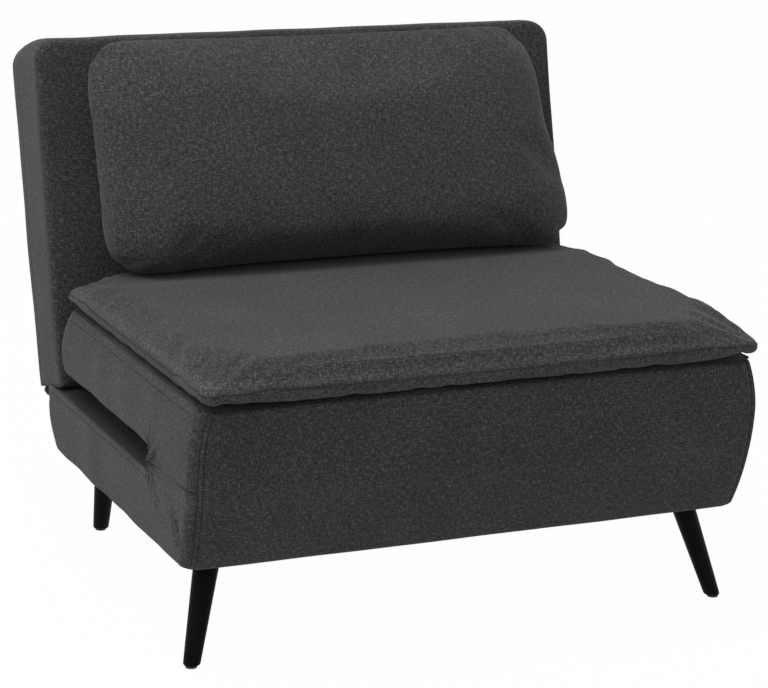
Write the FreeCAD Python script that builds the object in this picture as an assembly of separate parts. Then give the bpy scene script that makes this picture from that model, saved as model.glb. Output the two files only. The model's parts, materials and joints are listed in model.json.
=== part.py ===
import FreeCAD, Part

import math
import os

from FreeCAD import Vector

# Frame: +X to the sitter's left, +Y towards the back, +Z up, floor at z = 0.
# While the pieces are made, y = 0 is the bottom front edge of the base. At export they
# move forward by CENTRE_Y, so that the origin is on the floor at the middle of the footprint.
CENTRE_Y = 401.6

# Base and seat sections, the two upholstered boxes joined along the front
BASE_BOTTOM = 158.0
BASE_HEIGHT = 110.0
SLOT_HEIGHT = 42.0
SLOT_FRONT = 141.0
SEAT_HEIGHT = 101.0
HALF_WIDTH = 466.0
WIDEST_ABOVE_SLOT = 15.0
BOTTOM_TUCK = 36.0
TOP_TUCK = 22.0
FRONT_BULGE = 50.0
FULLEST_FRONT_ABOVE_SLOT = 35.0
BASE_REAR = 690.0
BASE_REAR_TUCK = 34.0
BASE_REAR_FULL_DROP = 48.0
BASE_REAR_EDGE_RADIUS = 38.0
SEAT_REAR_FULL_ABOVE_SLOT = 50.0
SEAT_REAR_LOWER_TUCK = 26.0
SEAT_REAR_UPPER_TUCK = 10.0
FRONT_CORNER_RADIUS = 30.0
REAR_CORNER_RADIUS = 26.0
COVER = 2.5
FRONT_PANEL_DEPTH = 13.0
SKIN_LEVELS = 5
SOFT_GAP = 0.3

# Timber frames, slats and foam
RAIL_THICKNESS = 22.0
BASE_RAIL_HEIGHT = 42.0
BASE_RAIL_INSET = 10.0
SEAT_RAIL_HEIGHT = 41.0
SEAT_RAIL_INSET = 4.0
FRONT_RAIL_Y = 10.0
BASE_FRAME_REAR_INSET = 5.0
SEAT_FRAME_REAR_INSET = 14.0
SLAT_THICKNESS = 8.0
SLAT_WIDTH = 56.0
SLAT_COUNT = 6
FOAM_GAP = 0.3
BACK_FOAM_GAP = 1.0
TOP_LIP = 28.0
DUST_COVER = 1.0

# Legs
LEG_PLATE = 3.0
LEG_PLATE_SIDE = 52.0
LEG_PLATE_GAP = 0.5
LEG_TOP_RADIUS = 20.5
LEG_TIP_RADIUS = 13.0
LEG_SPARE = 0.15
LEG_HOLE_GAP = 5.0
GLIDE_HEIGHT = 3.0
GLIDE_RADIUS = 9.0
FRONT_LEG_INSET = 20.0
FRONT_LEG_Y = 73.0
FRONT_LEG_SPLAY = (43.0, -48.0)
REAR_LEG_INSET = 43.0
REAR_LEG_INSET_Y = 21.0
REAR_LEG_SPLAY = (0.0, 41.0)
STUD_RADIUS = 4.0
STUD_LENGTH = 11.0
STUD_CLEARANCE = 0.2
STUD_END_GAP = 1.0
BLOCK_SIDE = 62.0
BLOCK_HEIGHT = 40.0

# Fold hinge between the base and the seat section
FOLD_AXIS_LEAD = 2.0
KNUCKLE_RADIUS = 3.0
KNUCKLE_LENGTH = 26.0
KNUCKLE_COUNT = 3
KNUCKLE_GAP = 0.3
LEAF = 1.5
LEAF_DEPTH = 74.0
FOLD_PIN_RADIUS = 1.4
FOLD_PIN_CLEARANCE = 0.1
FOLD_HINGE_SPACING = 300.0
FOLD_HINGE_COUNT = 3
LEAF_SCREW_RADIUS = 2.0
LEAF_SCREW_HEAD_RADIUS = 4.0
LEAF_SCREW_HEAD = 0.9
LEAF_SCREW_LENGTH = 18.0
LEAF_SCREW_PITCH = 40.0
SCREW_CLEARANCE = 0.05

# Folding leg hoop, kept flat in the seat section's frame
HOOP_TUBE_RADIUS = 10.0
HOOP_TUBE_WALL = 1.5
HOOP_BEND_RADIUS = 45.0
HOOP_SIDE_GAP = 7.0
HOOP_PIVOT_INSET = 15.0
HOOP_BARREL_RADIUS = 11.0
HOOP_BARREL_LENGTH = 26.0
HOOP_PIN_RADIUS = 5.0
HOOP_PIN_HEAD_RADIUS = 8.0
HOOP_PIN_HEAD = 3.0
HOOP_PIN_CLEARANCE = 0.08
HOOP_PIN_END_GAP = 0.3
HOOP_SLEEVE_WALL = 3.0
HOOP_SLEEVE_CLEARANCE = 0.05
HOOP_SLEEVE_LENGTH = 90.0
HOOP_SLEEVE_X = 250.0
BRACKET = 3.0
BRACKET_LENGTH = 54.0
BRACKET_HEIGHT = 34.0

# Backrest, drawn upright and then tilted about its lower front edge
BACK_RECLINE = 13.0
BACK_FOOT_GAP = 2.0
BACK_HEIGHT = 580.0
BACK_THICKNESS_LOW = 122.0
BACK_THICKNESS_HIGH = 143.0
BACK_FOOT_FRONT_RISE = 3.0
BACK_FOOT_MIDDLE_RISE = 12.4
BACK_FOOT_REAR_RISE = 7.0
BACK_SHOULDER_DROP = 40.0
BACK_CORNER_RADIUS = 38.0
BACK_CROWN = 5.0
BACK_TOP_ROLL = 30.0
BACK_TOP_CROWN = 7.0
BACK_HEM_RADIUS = 13.0
BACK_HEM_INSET = 13.0
BACK_POST_FRONT = 44.0
BACK_POST_DEPTH = 44.0
BACK_POST_FOOT = 16.0
BACK_FRAME_TOP_DROP = 48.0
BACK_RAIL_HEIGHT = 40.0
WEBBING = 2.0
WEBBING_WIDTH = 60.0
WEBBING_COUNT = 5
SEAT_BACK_GAP = 9.0

# Backrest hinge
BACK_PIVOT_INSET = 35.0
BACK_PIVOT_DROP = 71.0
ARM_THICKNESS = 6.0
ARM_WIDTH = 25.0
ARM_TOP = 175.0
PIVOT_PLATE = 4.0
PIVOT_PLATE_REACH = 72.0
PIVOT_PLATE_TAIL = 13.0
PIVOT_PLATE_HEIGHT = 40.0
PIVOT_PIN_RADIUS = 6.0
PIVOT_PIN_HEAD_RADIUS = 9.0
PIVOT_PIN_HEAD = 3.0
PIVOT_CLEARANCE = 0.08
ARM_SIDE_GAP = 0.5
POCKET_WIDTH = 20.0
POCKET_FLOOR_GAP = 2.0
POCKET_FOAM_GAP = 2.0
SLAT_PLATE_GAP = 3.0
POCKET_DEPTH = 18.0

# Loose pads: the topper on the seat and the back cushion on the topper
TOPPER_SIDE_INSET = 16.0
TOPPER_OVERHANG = 8.0
TOPPER_REAR_INSET = 6.0
TOPPER_THICKNESS = 58.0
TOPPER_SEAM_HEIGHT = 34.0
TOPPER_EDGE_DRAW = 14.0
TOPPER_CROWN_DRAW = 95.0
TOPPER_CORNER_RADIUS = 26.0
GRIP_STRIP = 1.4
GRIP_STRIP_LENGTH = 420.0
GRIP_STRIP_INSET = 2.0
GRIP_STRIP_EDGE = 1.0
GRIP_GAP = 0.2
CUSHION_SIDE_INSET = 34.0
CUSHION_HALF_HEIGHT = 176.0
CUSHION_FRONT_BULGE = 84.0
CUSHION_REAR_BULGE = 77.0
CUSHION_SIDE_DRAW = 12.0
CUSHION_RISE = 173.0
CUSHION_STAND_OFF = 81.0
CUSHION_LEAN = 14.0
CUSHION_FULLNESS = 2.6
# Shares of the bulge, each with how far its outline is drawn in
CUSHION_BULGE_STEPS = ((0.35, 8.0), (0.65, 24.0), (0.87, 52.0), (1.0, 110.0))
# Shares of the rise above the seam, each with its share of the crown's draw
TOPPER_CROWN_STEPS = ((0.4, 0.06), (0.75, 0.25), (0.93, 0.55), (1.0, 1.0))
TOPPER_MIDDLE_SHARE = 0.25

# Heights
BASE_TOP = BASE_BOTTOM + BASE_HEIGHT
SEAT_UNDERSIDE = BASE_TOP + SLOT_HEIGHT
SEAT_TOP = SEAT_UNDERSIDE + SEAT_HEIGHT
WIDEST_Z = SEAT_UNDERSIDE + WIDEST_ABOVE_SLOT
FULLEST_FRONT_Z = SEAT_UNDERSIDE + FULLEST_FRONT_ABOVE_SLOT
SEAT_REAR_FULL_Z = SEAT_UNDERSIDE + SEAT_REAR_FULL_ABOVE_SLOT
BASE_REAR_FULL_Z = BASE_TOP - BASE_REAR_FULL_DROP
FOLD_AXIS_Z = BASE_TOP + SLOT_HEIGHT / 2
EAR_TOP = FOLD_AXIS_Z - KNUCKLE_RADIUS
EAR_BOTTOM = FOLD_AXIS_Z + KNUCKLE_RADIUS
LEG_TOP_Z = BASE_BOTTOM + DUST_COVER + LEG_PLATE_GAP
BASE_FRAME_BOTTOM = LEG_TOP_Z + LEG_PLATE
SEAT_FRAME_TOP = SEAT_TOP - COVER
SEAT_FRAME_BOTTOM = SEAT_FRAME_TOP - SEAT_RAIL_HEIGHT
HOOP_PIVOT_Z = SEAT_FRAME_BOTTOM + SEAT_RAIL_HEIGHT / 2
TOPPER_BOTTOM = SEAT_TOP + 2 * GRIP_STRIP + GRIP_GAP
TOPPER_TOP = TOPPER_BOTTOM + TOPPER_THICKNESS

# Half widths
BASE_RAIL_OUTER = HALF_WIDTH - BOTTOM_TUCK - BASE_RAIL_INSET
SEAT_RAIL_OUTER = HALF_WIDTH - TOP_TUCK - SEAT_RAIL_INSET
HOOP_ARM_X = SEAT_RAIL_OUTER - RAIL_THICKNESS - BRACKET - HOOP_SIDE_GAP - HOOP_BARREL_LENGTH / 2
BACK_POST_INNER = BASE_RAIL_OUTER - RAIL_THICKNESS - PIVOT_PLATE - ARM_SIDE_GAP
TOPPER_HALF_WIDTH = HALF_WIDTH - TOPPER_SIDE_INSET
CUSHION_HALF_WIDTH = HALF_WIDTH - CUSHION_SIDE_INSET

# Depths. The backrest's face comes level with the base's top when the backrest lies down.
BASE_FRAME_REAR = BASE_REAR - BASE_REAR_TUCK - BASE_FRAME_REAR_INSET
BACK_PIVOT_Y = BASE_REAR - BACK_PIVOT_INSET
BACK_PIVOT_Z = BASE_TOP - BACK_PIVOT_DROP
BACK_FOOT_Z = BASE_TOP + BACK_FOOT_GAP
LEAN = math.radians(BACK_RECLINE)
BACK_FACE_Y = (BACK_PIVOT_Y - BACK_PIVOT_DROP * (1 - math.sin(LEAN)) / math.cos(LEAN)
               + BACK_FOOT_GAP * math.tan(LEAN))
SEAT_REAR = BACK_FACE_Y + (SEAT_REAR_FULL_Z - BACK_FOOT_Z) * math.tan(LEAN) - SEAT_BACK_GAP
SEAT_FRAME_REAR = SEAT_REAR - SEAT_REAR_UPPER_TUCK - SEAT_FRAME_REAR_INSET
HOOP_PIVOT_Y = SEAT_FRAME_REAR - RAIL_THICKNESS - HOOP_PIVOT_INSET
TOPPER_FRONT = -FRONT_BULGE - TOPPER_OVERHANG
TOPPER_REAR = SEAT_REAR - TOPPER_REAR_INSET
CUSHION_CENTRE_Z = TOPPER_TOP + CUSHION_RISE
BIG = 2000.0


def box(low, high):
    """Box between two opposite corners."""
    size = [b - a for a, b in zip(low, high)]
    return Part.makeBox(size[0], size[1], size[2], Vector(*low))


def both_sides(shape):
    """The shape with its mirror image across the plane x = 0."""
    return [shape, shape.mirror(Vector(0, 0, 0), Vector(1, 0, 0))]


def rod(radius, start, end):
    """Cylinder from one point to another."""
    start = Vector(*start)
    along = Vector(*end) - start
    return Part.makeCylinder(radius, along.Length, start, along)


def polyline_prism(points, half_length):
    """Closed outline of (y, z) points, swept along X on both sides of x = 0."""
    corners = [Vector(-half_length, y, z) for y, z in points]
    face = Part.Face(Part.makePolygon(corners + corners[:1]))
    return face.extrude(Vector(2 * half_length, 0, 0))


def rounded_outline(z, half_width, front, rear, front_radius, rear_radius):
    """Level outline with straight sides and four quarter-round corners."""
    diagonal = math.sqrt(0.5)
    corners = (
        (half_width, front, front_radius, -1, 1),
        (half_width, rear, rear_radius, 1, 1),
        (-half_width, rear, rear_radius, 1, -1),
        (-half_width, front, front_radius, -1, -1),
    )
    arcs = []
    for x, y, radius, back, side in corners:
        centre = Vector(x - side * radius, y - back * radius, z)
        across = Vector(side * radius, 0, 0)
        along = Vector(0, back * radius, 0)
        ends = [centre + across, centre + along]
        if side * back > 0:
            first, last = ends
        else:
            last, first = ends
        middle = centre + (across + along) * diagonal
        arcs.append((first, middle, last))
    edges = []
    for index, (first, middle, last) in enumerate(arcs):
        edges.append(Part.Arc(first, middle, last).toShape())
        edges.append(Part.makeLine(last, arcs[(index + 1) % 4][0]))
    return Part.Wire(edges)


def half_width(z):
    """Half the width of the upholstered body at a height: fullest at WIDEST_Z."""
    if z < WIDEST_Z:
        return HALF_WIDTH - BOTTOM_TUCK * ((WIDEST_Z - z) / (WIDEST_Z - BASE_BOTTOM)) ** 2
    return HALF_WIDTH - TOP_TUCK * ((z - WIDEST_Z) / (SEAT_TOP - WIDEST_Z)) ** 2


def front_y(z):
    """Front of the upholstered body at a height: it curves back towards the bottom."""
    below = max(0.0, FULLEST_FRONT_Z - z) / (FULLEST_FRONT_Z - BASE_BOTTOM)
    return -FRONT_BULGE * (1 - below ** 2)


def base_rear(z):
    """Back of the base at a height: it curves forward towards the bottom."""
    below = max(0.0, BASE_REAR_FULL_Z - z) / (BASE_REAR_FULL_Z - BASE_BOTTOM)
    return BASE_REAR - BASE_REAR_TUCK * below ** 2


def seat_rear(z):
    """Back of the seat section at a height: fullest at SEAT_REAR_FULL_Z."""
    if z < SEAT_REAR_FULL_Z:
        drop = (SEAT_REAR_FULL_Z - z) / (SEAT_REAR_FULL_Z - SEAT_UNDERSIDE)
        return SEAT_REAR - SEAT_REAR_LOWER_TUCK * drop ** 2
    rise = (z - SEAT_REAR_FULL_Z) / (SEAT_TOP - SEAT_REAR_FULL_Z)
    return SEAT_REAR - SEAT_REAR_UPPER_TUCK * rise ** 2


def skin(low, high, rear, inset):
    """Solid inside the upholstered outline between two heights, drawn in by an inset."""
    outlines = []
    for level in range(SKIN_LEVELS):
        z = low + (high - low) * level / (SKIN_LEVELS - 1)
        outlines.append(rounded_outline(
            z, half_width(z) - inset, front_y(z) + inset, rear(z) - inset,
            FRONT_CORNER_RADIUS - inset, REAR_CORNER_RADIUS - inset))
    return Part.makeLoft(outlines, True, True)


def base_slot(inset):
    """Space above the base behind the raised front, with the rounded rear edge."""
    front = SLOT_FRONT - inset
    floor = BASE_TOP - inset
    radius = BASE_REAR_EDGE_RADIUS - inset
    rear = BASE_REAR - inset
    centre = (rear - radius, floor - radius)
    diagonal = radius * math.sqrt(0.5)
    top = [Vector(-BIG / 2, y, z) for y, z in (
        (front, SEAT_UNDERSIDE), (front, floor), (centre[0], floor))]
    bend = Part.Arc(
        top[2], Vector(-BIG / 2, centre[0] + diagonal, centre[1] + diagonal),
        Vector(-BIG / 2, rear, centre[1])).toShape()
    outside = [Vector(-BIG / 2, y, z) for y, z in (
        (rear, centre[1]), (rear + BIG, centre[1]), (rear + BIG, SEAT_UNDERSIDE))]
    edges = [Part.makeLine(a, b) for a, b in zip(top, top[1:])] + [bend]
    edges += [Part.makeLine(a, b) for a, b in zip(outside, outside[1:])]
    edges.append(Part.makeLine(outside[-1], top[0]))
    return Part.Face(Part.Wire(edges)).extrude(Vector(BIG, 0, 0))


def front_region(low, high):
    """Everything in front of the corner seams, between two heights."""
    steps = 6
    heights = [low + (high - low) * step / steps for step in range(steps + 1)]
    seam = [(front_y(z) + FRONT_PANEL_DEPTH, z) for z in heights]
    return polyline_prism(seam + [(-BIG, high), (-BIG, low)], BIG / 2)


def arm_pocket(width, reach):
    """Slot at the rear of the base that a backrest hinge arm swings through."""
    middle = BACK_POST_INNER - ARM_THICKNESS / 2
    low = (middle - width / 2, BACK_PIVOT_Y - POCKET_DEPTH, BACK_PIVOT_Z - POCKET_DEPTH - POCKET_FLOOR_GAP)
    high = (middle + width / 2, BASE_REAR + reach, SEAT_UNDERSIDE)
    return both_sides(box(low, high))


def leg_axis(foot, top, side):
    """Start and direction of a leg's centre line."""
    start = Vector(side * foot[0], foot[1], 0)
    end = Vector(side * top[0], top[1], LEG_TOP_Z)
    return start, end - start


FRONT_LEG_TOP = (BASE_RAIL_OUTER - FRONT_LEG_INSET, FRONT_LEG_Y)
REAR_LEG_TOP = (BASE_RAIL_OUTER - REAR_LEG_INSET, BASE_FRAME_REAR - REAR_LEG_INSET_Y)
FRONT_FOOT = (FRONT_LEG_TOP[0] + FRONT_LEG_SPLAY[0], FRONT_LEG_TOP[1] + FRONT_LEG_SPLAY[1])
REAR_FOOT = (REAR_LEG_TOP[0] + REAR_LEG_SPLAY[0], REAR_LEG_TOP[1] + REAR_LEG_SPLAY[1])
LEGS = {
    "front_left_leg": (FRONT_FOOT, FRONT_LEG_TOP, -1),
    "front_right_leg": (FRONT_FOOT, FRONT_LEG_TOP, 1),
    "rear_left_leg": (REAR_FOOT, REAR_LEG_TOP, -1),
    "rear_right_leg": (REAR_FOOT, REAR_LEG_TOP, 1),
}


def leg(foot, top, side):
    """Leaning cone, cut level where it meets its plate and its glide."""
    start, along = leg_axis(foot, top, side)
    tip = start + along * (GLIDE_HEIGHT / along.z)
    run = start + along - tip
    flare = (LEG_TOP_RADIUS - LEG_TIP_RADIUS) * LEG_SPARE
    cone = Part.makeCone(LEG_TIP_RADIUS - flare, LEG_TOP_RADIUS + flare, run.Length * (1 + 2 * LEG_SPARE),
                         tip - run * LEG_SPARE, run)
    return cone.common(box((-BIG / 2, -BIG / 2, GLIDE_HEIGHT), (BIG / 2, BIG / 2, LEG_TOP_Z)))


def leg_studs(radius, length):
    """Threaded studs that stand out of the leg tops."""
    studs = []
    for foot, top, side in LEGS.values():
        start, along = leg_axis(foot, top, side)
        unit = along.normalize()
        end = Vector(side * top[0], top[1], LEG_TOP_Z)
        stud = Part.makeCylinder(radius, length + radius, end - unit * radius, unit)
        studs.append(stud.common(box(
            (-BIG / 2, -BIG / 2, LEG_TOP_Z), (BIG / 2, BIG / 2, LEG_TOP_Z + BIG))))
    return studs


def make_legs(nodes):
    blocks = []
    plates = []
    glides = []
    for name, (foot, top, side) in LEGS.items():
        nodes[name] = [leg(foot, top, side)]
        x, y = side * top[0], top[1]
        half = LEG_PLATE_SIDE / 2
        rear_limit = min(y + half, BASE_FRAME_REAR)
        plates.append(box((x - half, rear_limit - LEG_PLATE_SIDE, LEG_TOP_Z),
                          (x + half, rear_limit, LEG_TOP_Z + LEG_PLATE)))
        glides.append(rod(GLIDE_RADIUS, (side * foot[0], foot[1], 0),
                          (side * foot[0], foot[1], GLIDE_HEIGHT)))
    inner = BASE_RAIL_OUTER - RAIL_THICKNESS
    for low_y in (FRONT_RAIL_Y + RAIL_THICKNESS, BASE_FRAME_REAR - RAIL_THICKNESS - BLOCK_SIDE):
        blocks += both_sides(box(
            (inner - BLOCK_SIDE, low_y, BASE_FRAME_BOTTOM),
            (inner, low_y + BLOCK_SIDE, BASE_FRAME_BOTTOM + BLOCK_HEIGHT)))
    nodes["leg_plates"] = plates
    nodes["leg_studs"] = leg_studs(STUD_RADIUS, STUD_LENGTH)
    nodes["foot_glides"] = glides
    nodes["base_corner_blocks"] = blocks
    holes = leg_studs(STUD_RADIUS + STUD_CLEARANCE, STUD_LENGTH + STUD_END_GAP)
    for name in ("leg_plates", "base_corner_blocks", "base_side_rails", "base_rear_rail"):
        nodes[name] = [solid.cut(holes) for solid in nodes[name]]


def slats(half_length, low_z, front, rear):
    """Row of cross slats spread evenly between two y positions."""
    pitch = (rear - front - SLAT_WIDTH) / (SLAT_COUNT - 1)
    row = []
    for index in range(SLAT_COUNT):
        y = front + index * pitch
        row.append(box((-half_length, y, low_z), (half_length, y + SLAT_WIDTH, low_z + SLAT_THICKNESS)))
    return row


def fold_axis_y():
    return front_y(FOLD_AXIS_Z) - FOLD_AXIS_LEAD


def hinge_leaf(centre_x, side):
    """One leaf of the fold hinge: side -1 is the base's, side 1 the seat section's."""
    width = KNUCKLE_COUNT * KNUCKLE_LENGTH
    y = fold_axis_y()
    outer = FOLD_AXIS_Z + side * KNUCKLE_RADIUS
    inner = outer - side * LEAF
    low_z, high_z = min(outer, inner), max(outer, inner)
    plate = box((centre_x - width / 2, y, low_z), (centre_x + width / 2, y + LEAF_DEPTH, high_z))
    knuckles = []
    gaps = []
    for index in range(KNUCKLE_COUNT):
        x = centre_x - width / 2 + index * KNUCKLE_LENGTH
        mine = (index % 2 == 0) == (side < 0)
        if mine:
            knuckles.append(rod(KNUCKLE_RADIUS, (x + KNUCKLE_GAP / 2, y, FOLD_AXIS_Z),
                                (x + KNUCKLE_LENGTH - KNUCKLE_GAP / 2, y, FOLD_AXIS_Z)))
        else:
            reach = KNUCKLE_RADIUS + KNUCKLE_GAP
            gaps.append(box((x - KNUCKLE_GAP / 2, y - reach, FOLD_AXIS_Z - reach),
                            (x + KNUCKLE_LENGTH + KNUCKLE_GAP / 2, y + reach, FOLD_AXIS_Z + reach)))
    leaf = plate.cut(gaps).fuse(knuckles)
    bore = rod(FOLD_PIN_RADIUS + FOLD_PIN_CLEARANCE, (centre_x - width, y, FOLD_AXIS_Z),
               (centre_x + width, y, FOLD_AXIS_Z))
    return leaf.cut(bore).removeSplitter()


def leaf_screws(centre_x, side, clearance):
    """Screws that hold a leaf to its front rail, or their holes with a clearance."""
    screws = []
    y = FRONT_RAIL_Y + RAIL_THICKNESS / 2
    face = FOLD_AXIS_Z + side * (KNUCKLE_RADIUS - LEAF)
    for offset in (-LEAF_SCREW_PITCH / 2, LEAF_SCREW_PITCH / 2):
        x = centre_x + offset
        shank = rod(LEAF_SCREW_RADIUS + clearance, (x, y, face),
                    (x, y, face + side * LEAF_SCREW_LENGTH))
        if clearance:
            screws.append(shank)
            continue
        head = rod(LEAF_SCREW_HEAD_RADIUS, (x, y, face - side * LEAF_SCREW_HEAD), (x, y, face))
        screws.append(head.fuse(shank))
    return screws


def make_fold_hinges(nodes):
    first = -FOLD_HINGE_SPACING * (FOLD_HINGE_COUNT - 1) / 2
    centres = [first + FOLD_HINGE_SPACING * index for index in range(FOLD_HINGE_COUNT)]
    y = fold_axis_y()
    width = KNUCKLE_COUNT * KNUCKLE_LENGTH
    for side, body in ((-1, "base"), (1, "seat")):
        holes = []
        screws = []
        for x in centres:
            holes += leaf_screws(x, side, SCREW_CLEARANCE)
            screws += leaf_screws(x, side, 0)
        nodes[body + "_hinge_leaves"] = [hinge_leaf(x, side).cut(holes) for x in centres]
        nodes[body + "_hinge_screws"] = screws
        for name in (body + "_front_rail", body + "_cover", body + "_foam"):
            nodes[name] = [solid.cut(holes) for solid in nodes[name]]
    nodes["fold_hinge_pins"] = [
        rod(FOLD_PIN_RADIUS, (x - width / 2, y, FOLD_AXIS_Z), (x + width / 2, y, FOLD_AXIS_Z))
        for x in centres]


def make_base(nodes):
    inner_x = BASE_RAIL_OUTER - RAIL_THICKNESS
    front_rear = FRONT_RAIL_Y + RAIL_THICKNESS
    frame_top = BASE_FRAME_BOTTOM + BASE_RAIL_HEIGHT
    rail_top = EAR_TOP - COVER
    nodes["base_side_rails"] = both_sides(box(
        (inner_x, front_rear, BASE_FRAME_BOTTOM), (BASE_RAIL_OUTER, BASE_FRAME_REAR, frame_top)))
    nodes["base_front_rail"] = [box(
        (-BASE_RAIL_OUTER, FRONT_RAIL_Y, BASE_FRAME_BOTTOM),
        (BASE_RAIL_OUTER, front_rear, rail_top))]
    rear_rail = box((-inner_x, BASE_FRAME_REAR - RAIL_THICKNESS, BASE_FRAME_BOTTOM),
                    (inner_x, BASE_FRAME_REAR, frame_top))
    nodes["base_rear_rail"] = [rear_rail.cut(arm_pocket(POCKET_WIDTH, 0))]
    slat_rear = BACK_PIVOT_Y + PIVOT_PLATE_TAIL - PIVOT_PLATE_REACH - SLAT_PLATE_GAP
    nodes["base_slats"] = slats(BASE_RAIL_OUTER, frame_top, front_rear + SLAT_WIDTH / 2, slat_rear)

    outer = skin(BASE_BOTTOM, EAR_TOP, base_rear, 0).cut(base_slot(0))
    cavity = skin(BASE_BOTTOM, EAR_TOP, base_rear, COVER).cut(base_slot(COVER))
    cavity = cavity.cut(box((-BIG / 2, -BIG / 2, rail_top), (BIG / 2, BIG / 2, BIG)))
    shell = outer.cut(cavity)
    region = front_region(BASE_BOTTOM - 1, EAR_TOP + 1)
    panel = box((-BIG / 2, SLOT_FRONT, BASE_TOP - COVER),
                (BIG / 2, BASE_REAR - BASE_REAR_EDGE_RADIUS, BASE_TOP))
    pockets = arm_pocket(POCKET_WIDTH, 1)
    nodes["base_cover"] = [shell.cut([region, panel] + pockets)]
    nodes["base_top_panel"] = [shell.common(panel).cut(pockets)]
    nodes["front_cover_lower"] = [shell.common(region)]

    foam_bottom = frame_top + SLAT_THICKNESS + FOAM_GAP
    foam = skin(BASE_BOTTOM, EAR_TOP, base_rear, COVER + FOAM_GAP).cut(base_slot(COVER + FOAM_GAP))
    foam = foam.common(box((-BIG / 2, -BIG / 2, foam_bottom), (BIG / 2, BIG / 2, rail_top - FOAM_GAP)))
    rail_room = box(
        (-BASE_RAIL_OUTER - FOAM_GAP, FRONT_RAIL_Y - FOAM_GAP, 0),
        (BASE_RAIL_OUTER + FOAM_GAP, front_rear + FOAM_GAP, rail_top + 1))
    foam = foam.cut([rail_room] + arm_pocket(POCKET_WIDTH + 2 * POCKET_FOAM_GAP, 1) + pivot_plates(FOAM_GAP))
    nodes["base_foam"] = [foam]

    inset = COVER + FOAM_GAP
    outline = rounded_outline(
        BASE_BOTTOM, half_width(BASE_BOTTOM) - inset, front_y(BASE_BOTTOM) + inset,
        base_rear(BASE_BOTTOM) - inset, FRONT_CORNER_RADIUS - inset, REAR_CORNER_RADIUS - inset)
    bottom = Part.Face(outline).extrude(Vector(0, 0, DUST_COVER))
    leg_holes = [
        rod(LEG_TOP_RADIUS + LEG_HOLE_GAP, (side * top[0], top[1], 0), (side * top[0], top[1], BASE_TOP))
        for foot, top, side in LEGS.values()]
    nodes["base_dust_cover"] = [bottom.cut(leg_holes)]


def make_seat(nodes):
    inner_x = SEAT_RAIL_OUTER - RAIL_THICKNESS
    front_rear = FRONT_RAIL_Y + RAIL_THICKNESS
    rail_bottom = EAR_BOTTOM + COVER
    slat_z = SEAT_FRAME_BOTTOM - SLAT_THICKNESS
    nodes["seat_side_rails"] = both_sides(box(
        (inner_x, front_rear, SEAT_FRAME_BOTTOM),
        (SEAT_RAIL_OUTER, SEAT_FRAME_REAR - RAIL_THICKNESS, SEAT_FRAME_TOP)))
    nodes["seat_front_rail"] = [box(
        (-SEAT_RAIL_OUTER, FRONT_RAIL_Y, rail_bottom), (SEAT_RAIL_OUTER, front_rear, SEAT_FRAME_TOP))]
    nodes["seat_rear_rail"] = [box(
        (-SEAT_RAIL_OUTER, SEAT_FRAME_REAR - RAIL_THICKNESS, SEAT_FRAME_BOTTOM),
        (SEAT_RAIL_OUTER, SEAT_FRAME_REAR, SEAT_FRAME_TOP))]
    nodes["seat_slats"] = slats(SEAT_RAIL_OUTER, slat_z, front_rear + SLAT_WIDTH / 2, SEAT_FRAME_REAR)

    slot = box((-BIG / 2, SLOT_FRONT, 0), (BIG / 2, BIG, SEAT_UNDERSIDE))
    inner_slot = box((-BIG / 2, SLOT_FRONT - COVER, 0), (BIG / 2, BIG, SEAT_UNDERSIDE + COVER))
    outer = skin(EAR_BOTTOM, SEAT_TOP, seat_rear, 0).cut(slot)
    cavity = skin(EAR_BOTTOM, SEAT_TOP, seat_rear, COVER).cut(inner_slot)
    cavity = cavity.common(box((-BIG / 2, -BIG / 2, rail_bottom), (BIG / 2, BIG / 2, SEAT_FRAME_TOP)))
    mouth_x = SEAT_RAIL_OUTER - TOP_LIP
    mouth = box((-mouth_x, front_rear, SEAT_FRAME_TOP - 1),
                (mouth_x, SEAT_FRAME_REAR - RAIL_THICKNESS, SEAT_TOP + 1))
    shell = outer.cut([cavity, mouth])
    region = front_region(EAR_BOTTOM - 1, SEAT_TOP + 1)
    panel = box((-BIG / 2, SLOT_FRONT, SEAT_UNDERSIDE), (BIG / 2, BIG, SEAT_UNDERSIDE + COVER))
    nodes["seat_cover"] = [shell.cut([region, panel])]
    nodes["seat_under_panel"] = [shell.common(panel)]
    nodes["front_cover_upper"] = [shell.common(region)]

    foam_slot = box((-BIG / 2, SLOT_FRONT - COVER - FOAM_GAP, 0),
                    (BIG / 2, BIG, SEAT_UNDERSIDE + COVER + FOAM_GAP))
    foam = skin(EAR_BOTTOM, SEAT_TOP, seat_rear, COVER + FOAM_GAP).cut(foam_slot)
    foam = foam.common(box(
        (-BIG / 2, -BIG / 2, rail_bottom + FOAM_GAP),
        (BIG / 2, BIG / 2, slat_z - FOAM_GAP)))
    rail_room = box(
        (-SEAT_RAIL_OUTER - FOAM_GAP, FRONT_RAIL_Y - FOAM_GAP, 0),
        (SEAT_RAIL_OUTER + FOAM_GAP, front_rear + FOAM_GAP, BIG))
    nodes["seat_foam"] = [foam.cut(rail_room)]
    strip = box((-GRIP_STRIP_LENGTH / 2, FRONT_RAIL_Y, SEAT_TOP),
                (GRIP_STRIP_LENGTH / 2, FRONT_RAIL_Y + RAIL_THICKNESS - GRIP_STRIP_INSET, SEAT_TOP + GRIP_STRIP))
    side_strip = box((mouth_x + GRIP_STRIP_EDGE, SLOT_FRONT, SEAT_TOP),
                     (SEAT_RAIL_OUTER, SLOT_FRONT + GRIP_STRIP_LENGTH, SEAT_TOP + GRIP_STRIP))
    nodes["seat_grip_strips"] = [strip] + both_sides(side_strip)
    lift = Vector(0, 0, GRIP_STRIP + GRIP_GAP)
    nodes["topper_grip_strips"] = [piece.translated(lift) for piece in nodes["seat_grip_strips"]]


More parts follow.
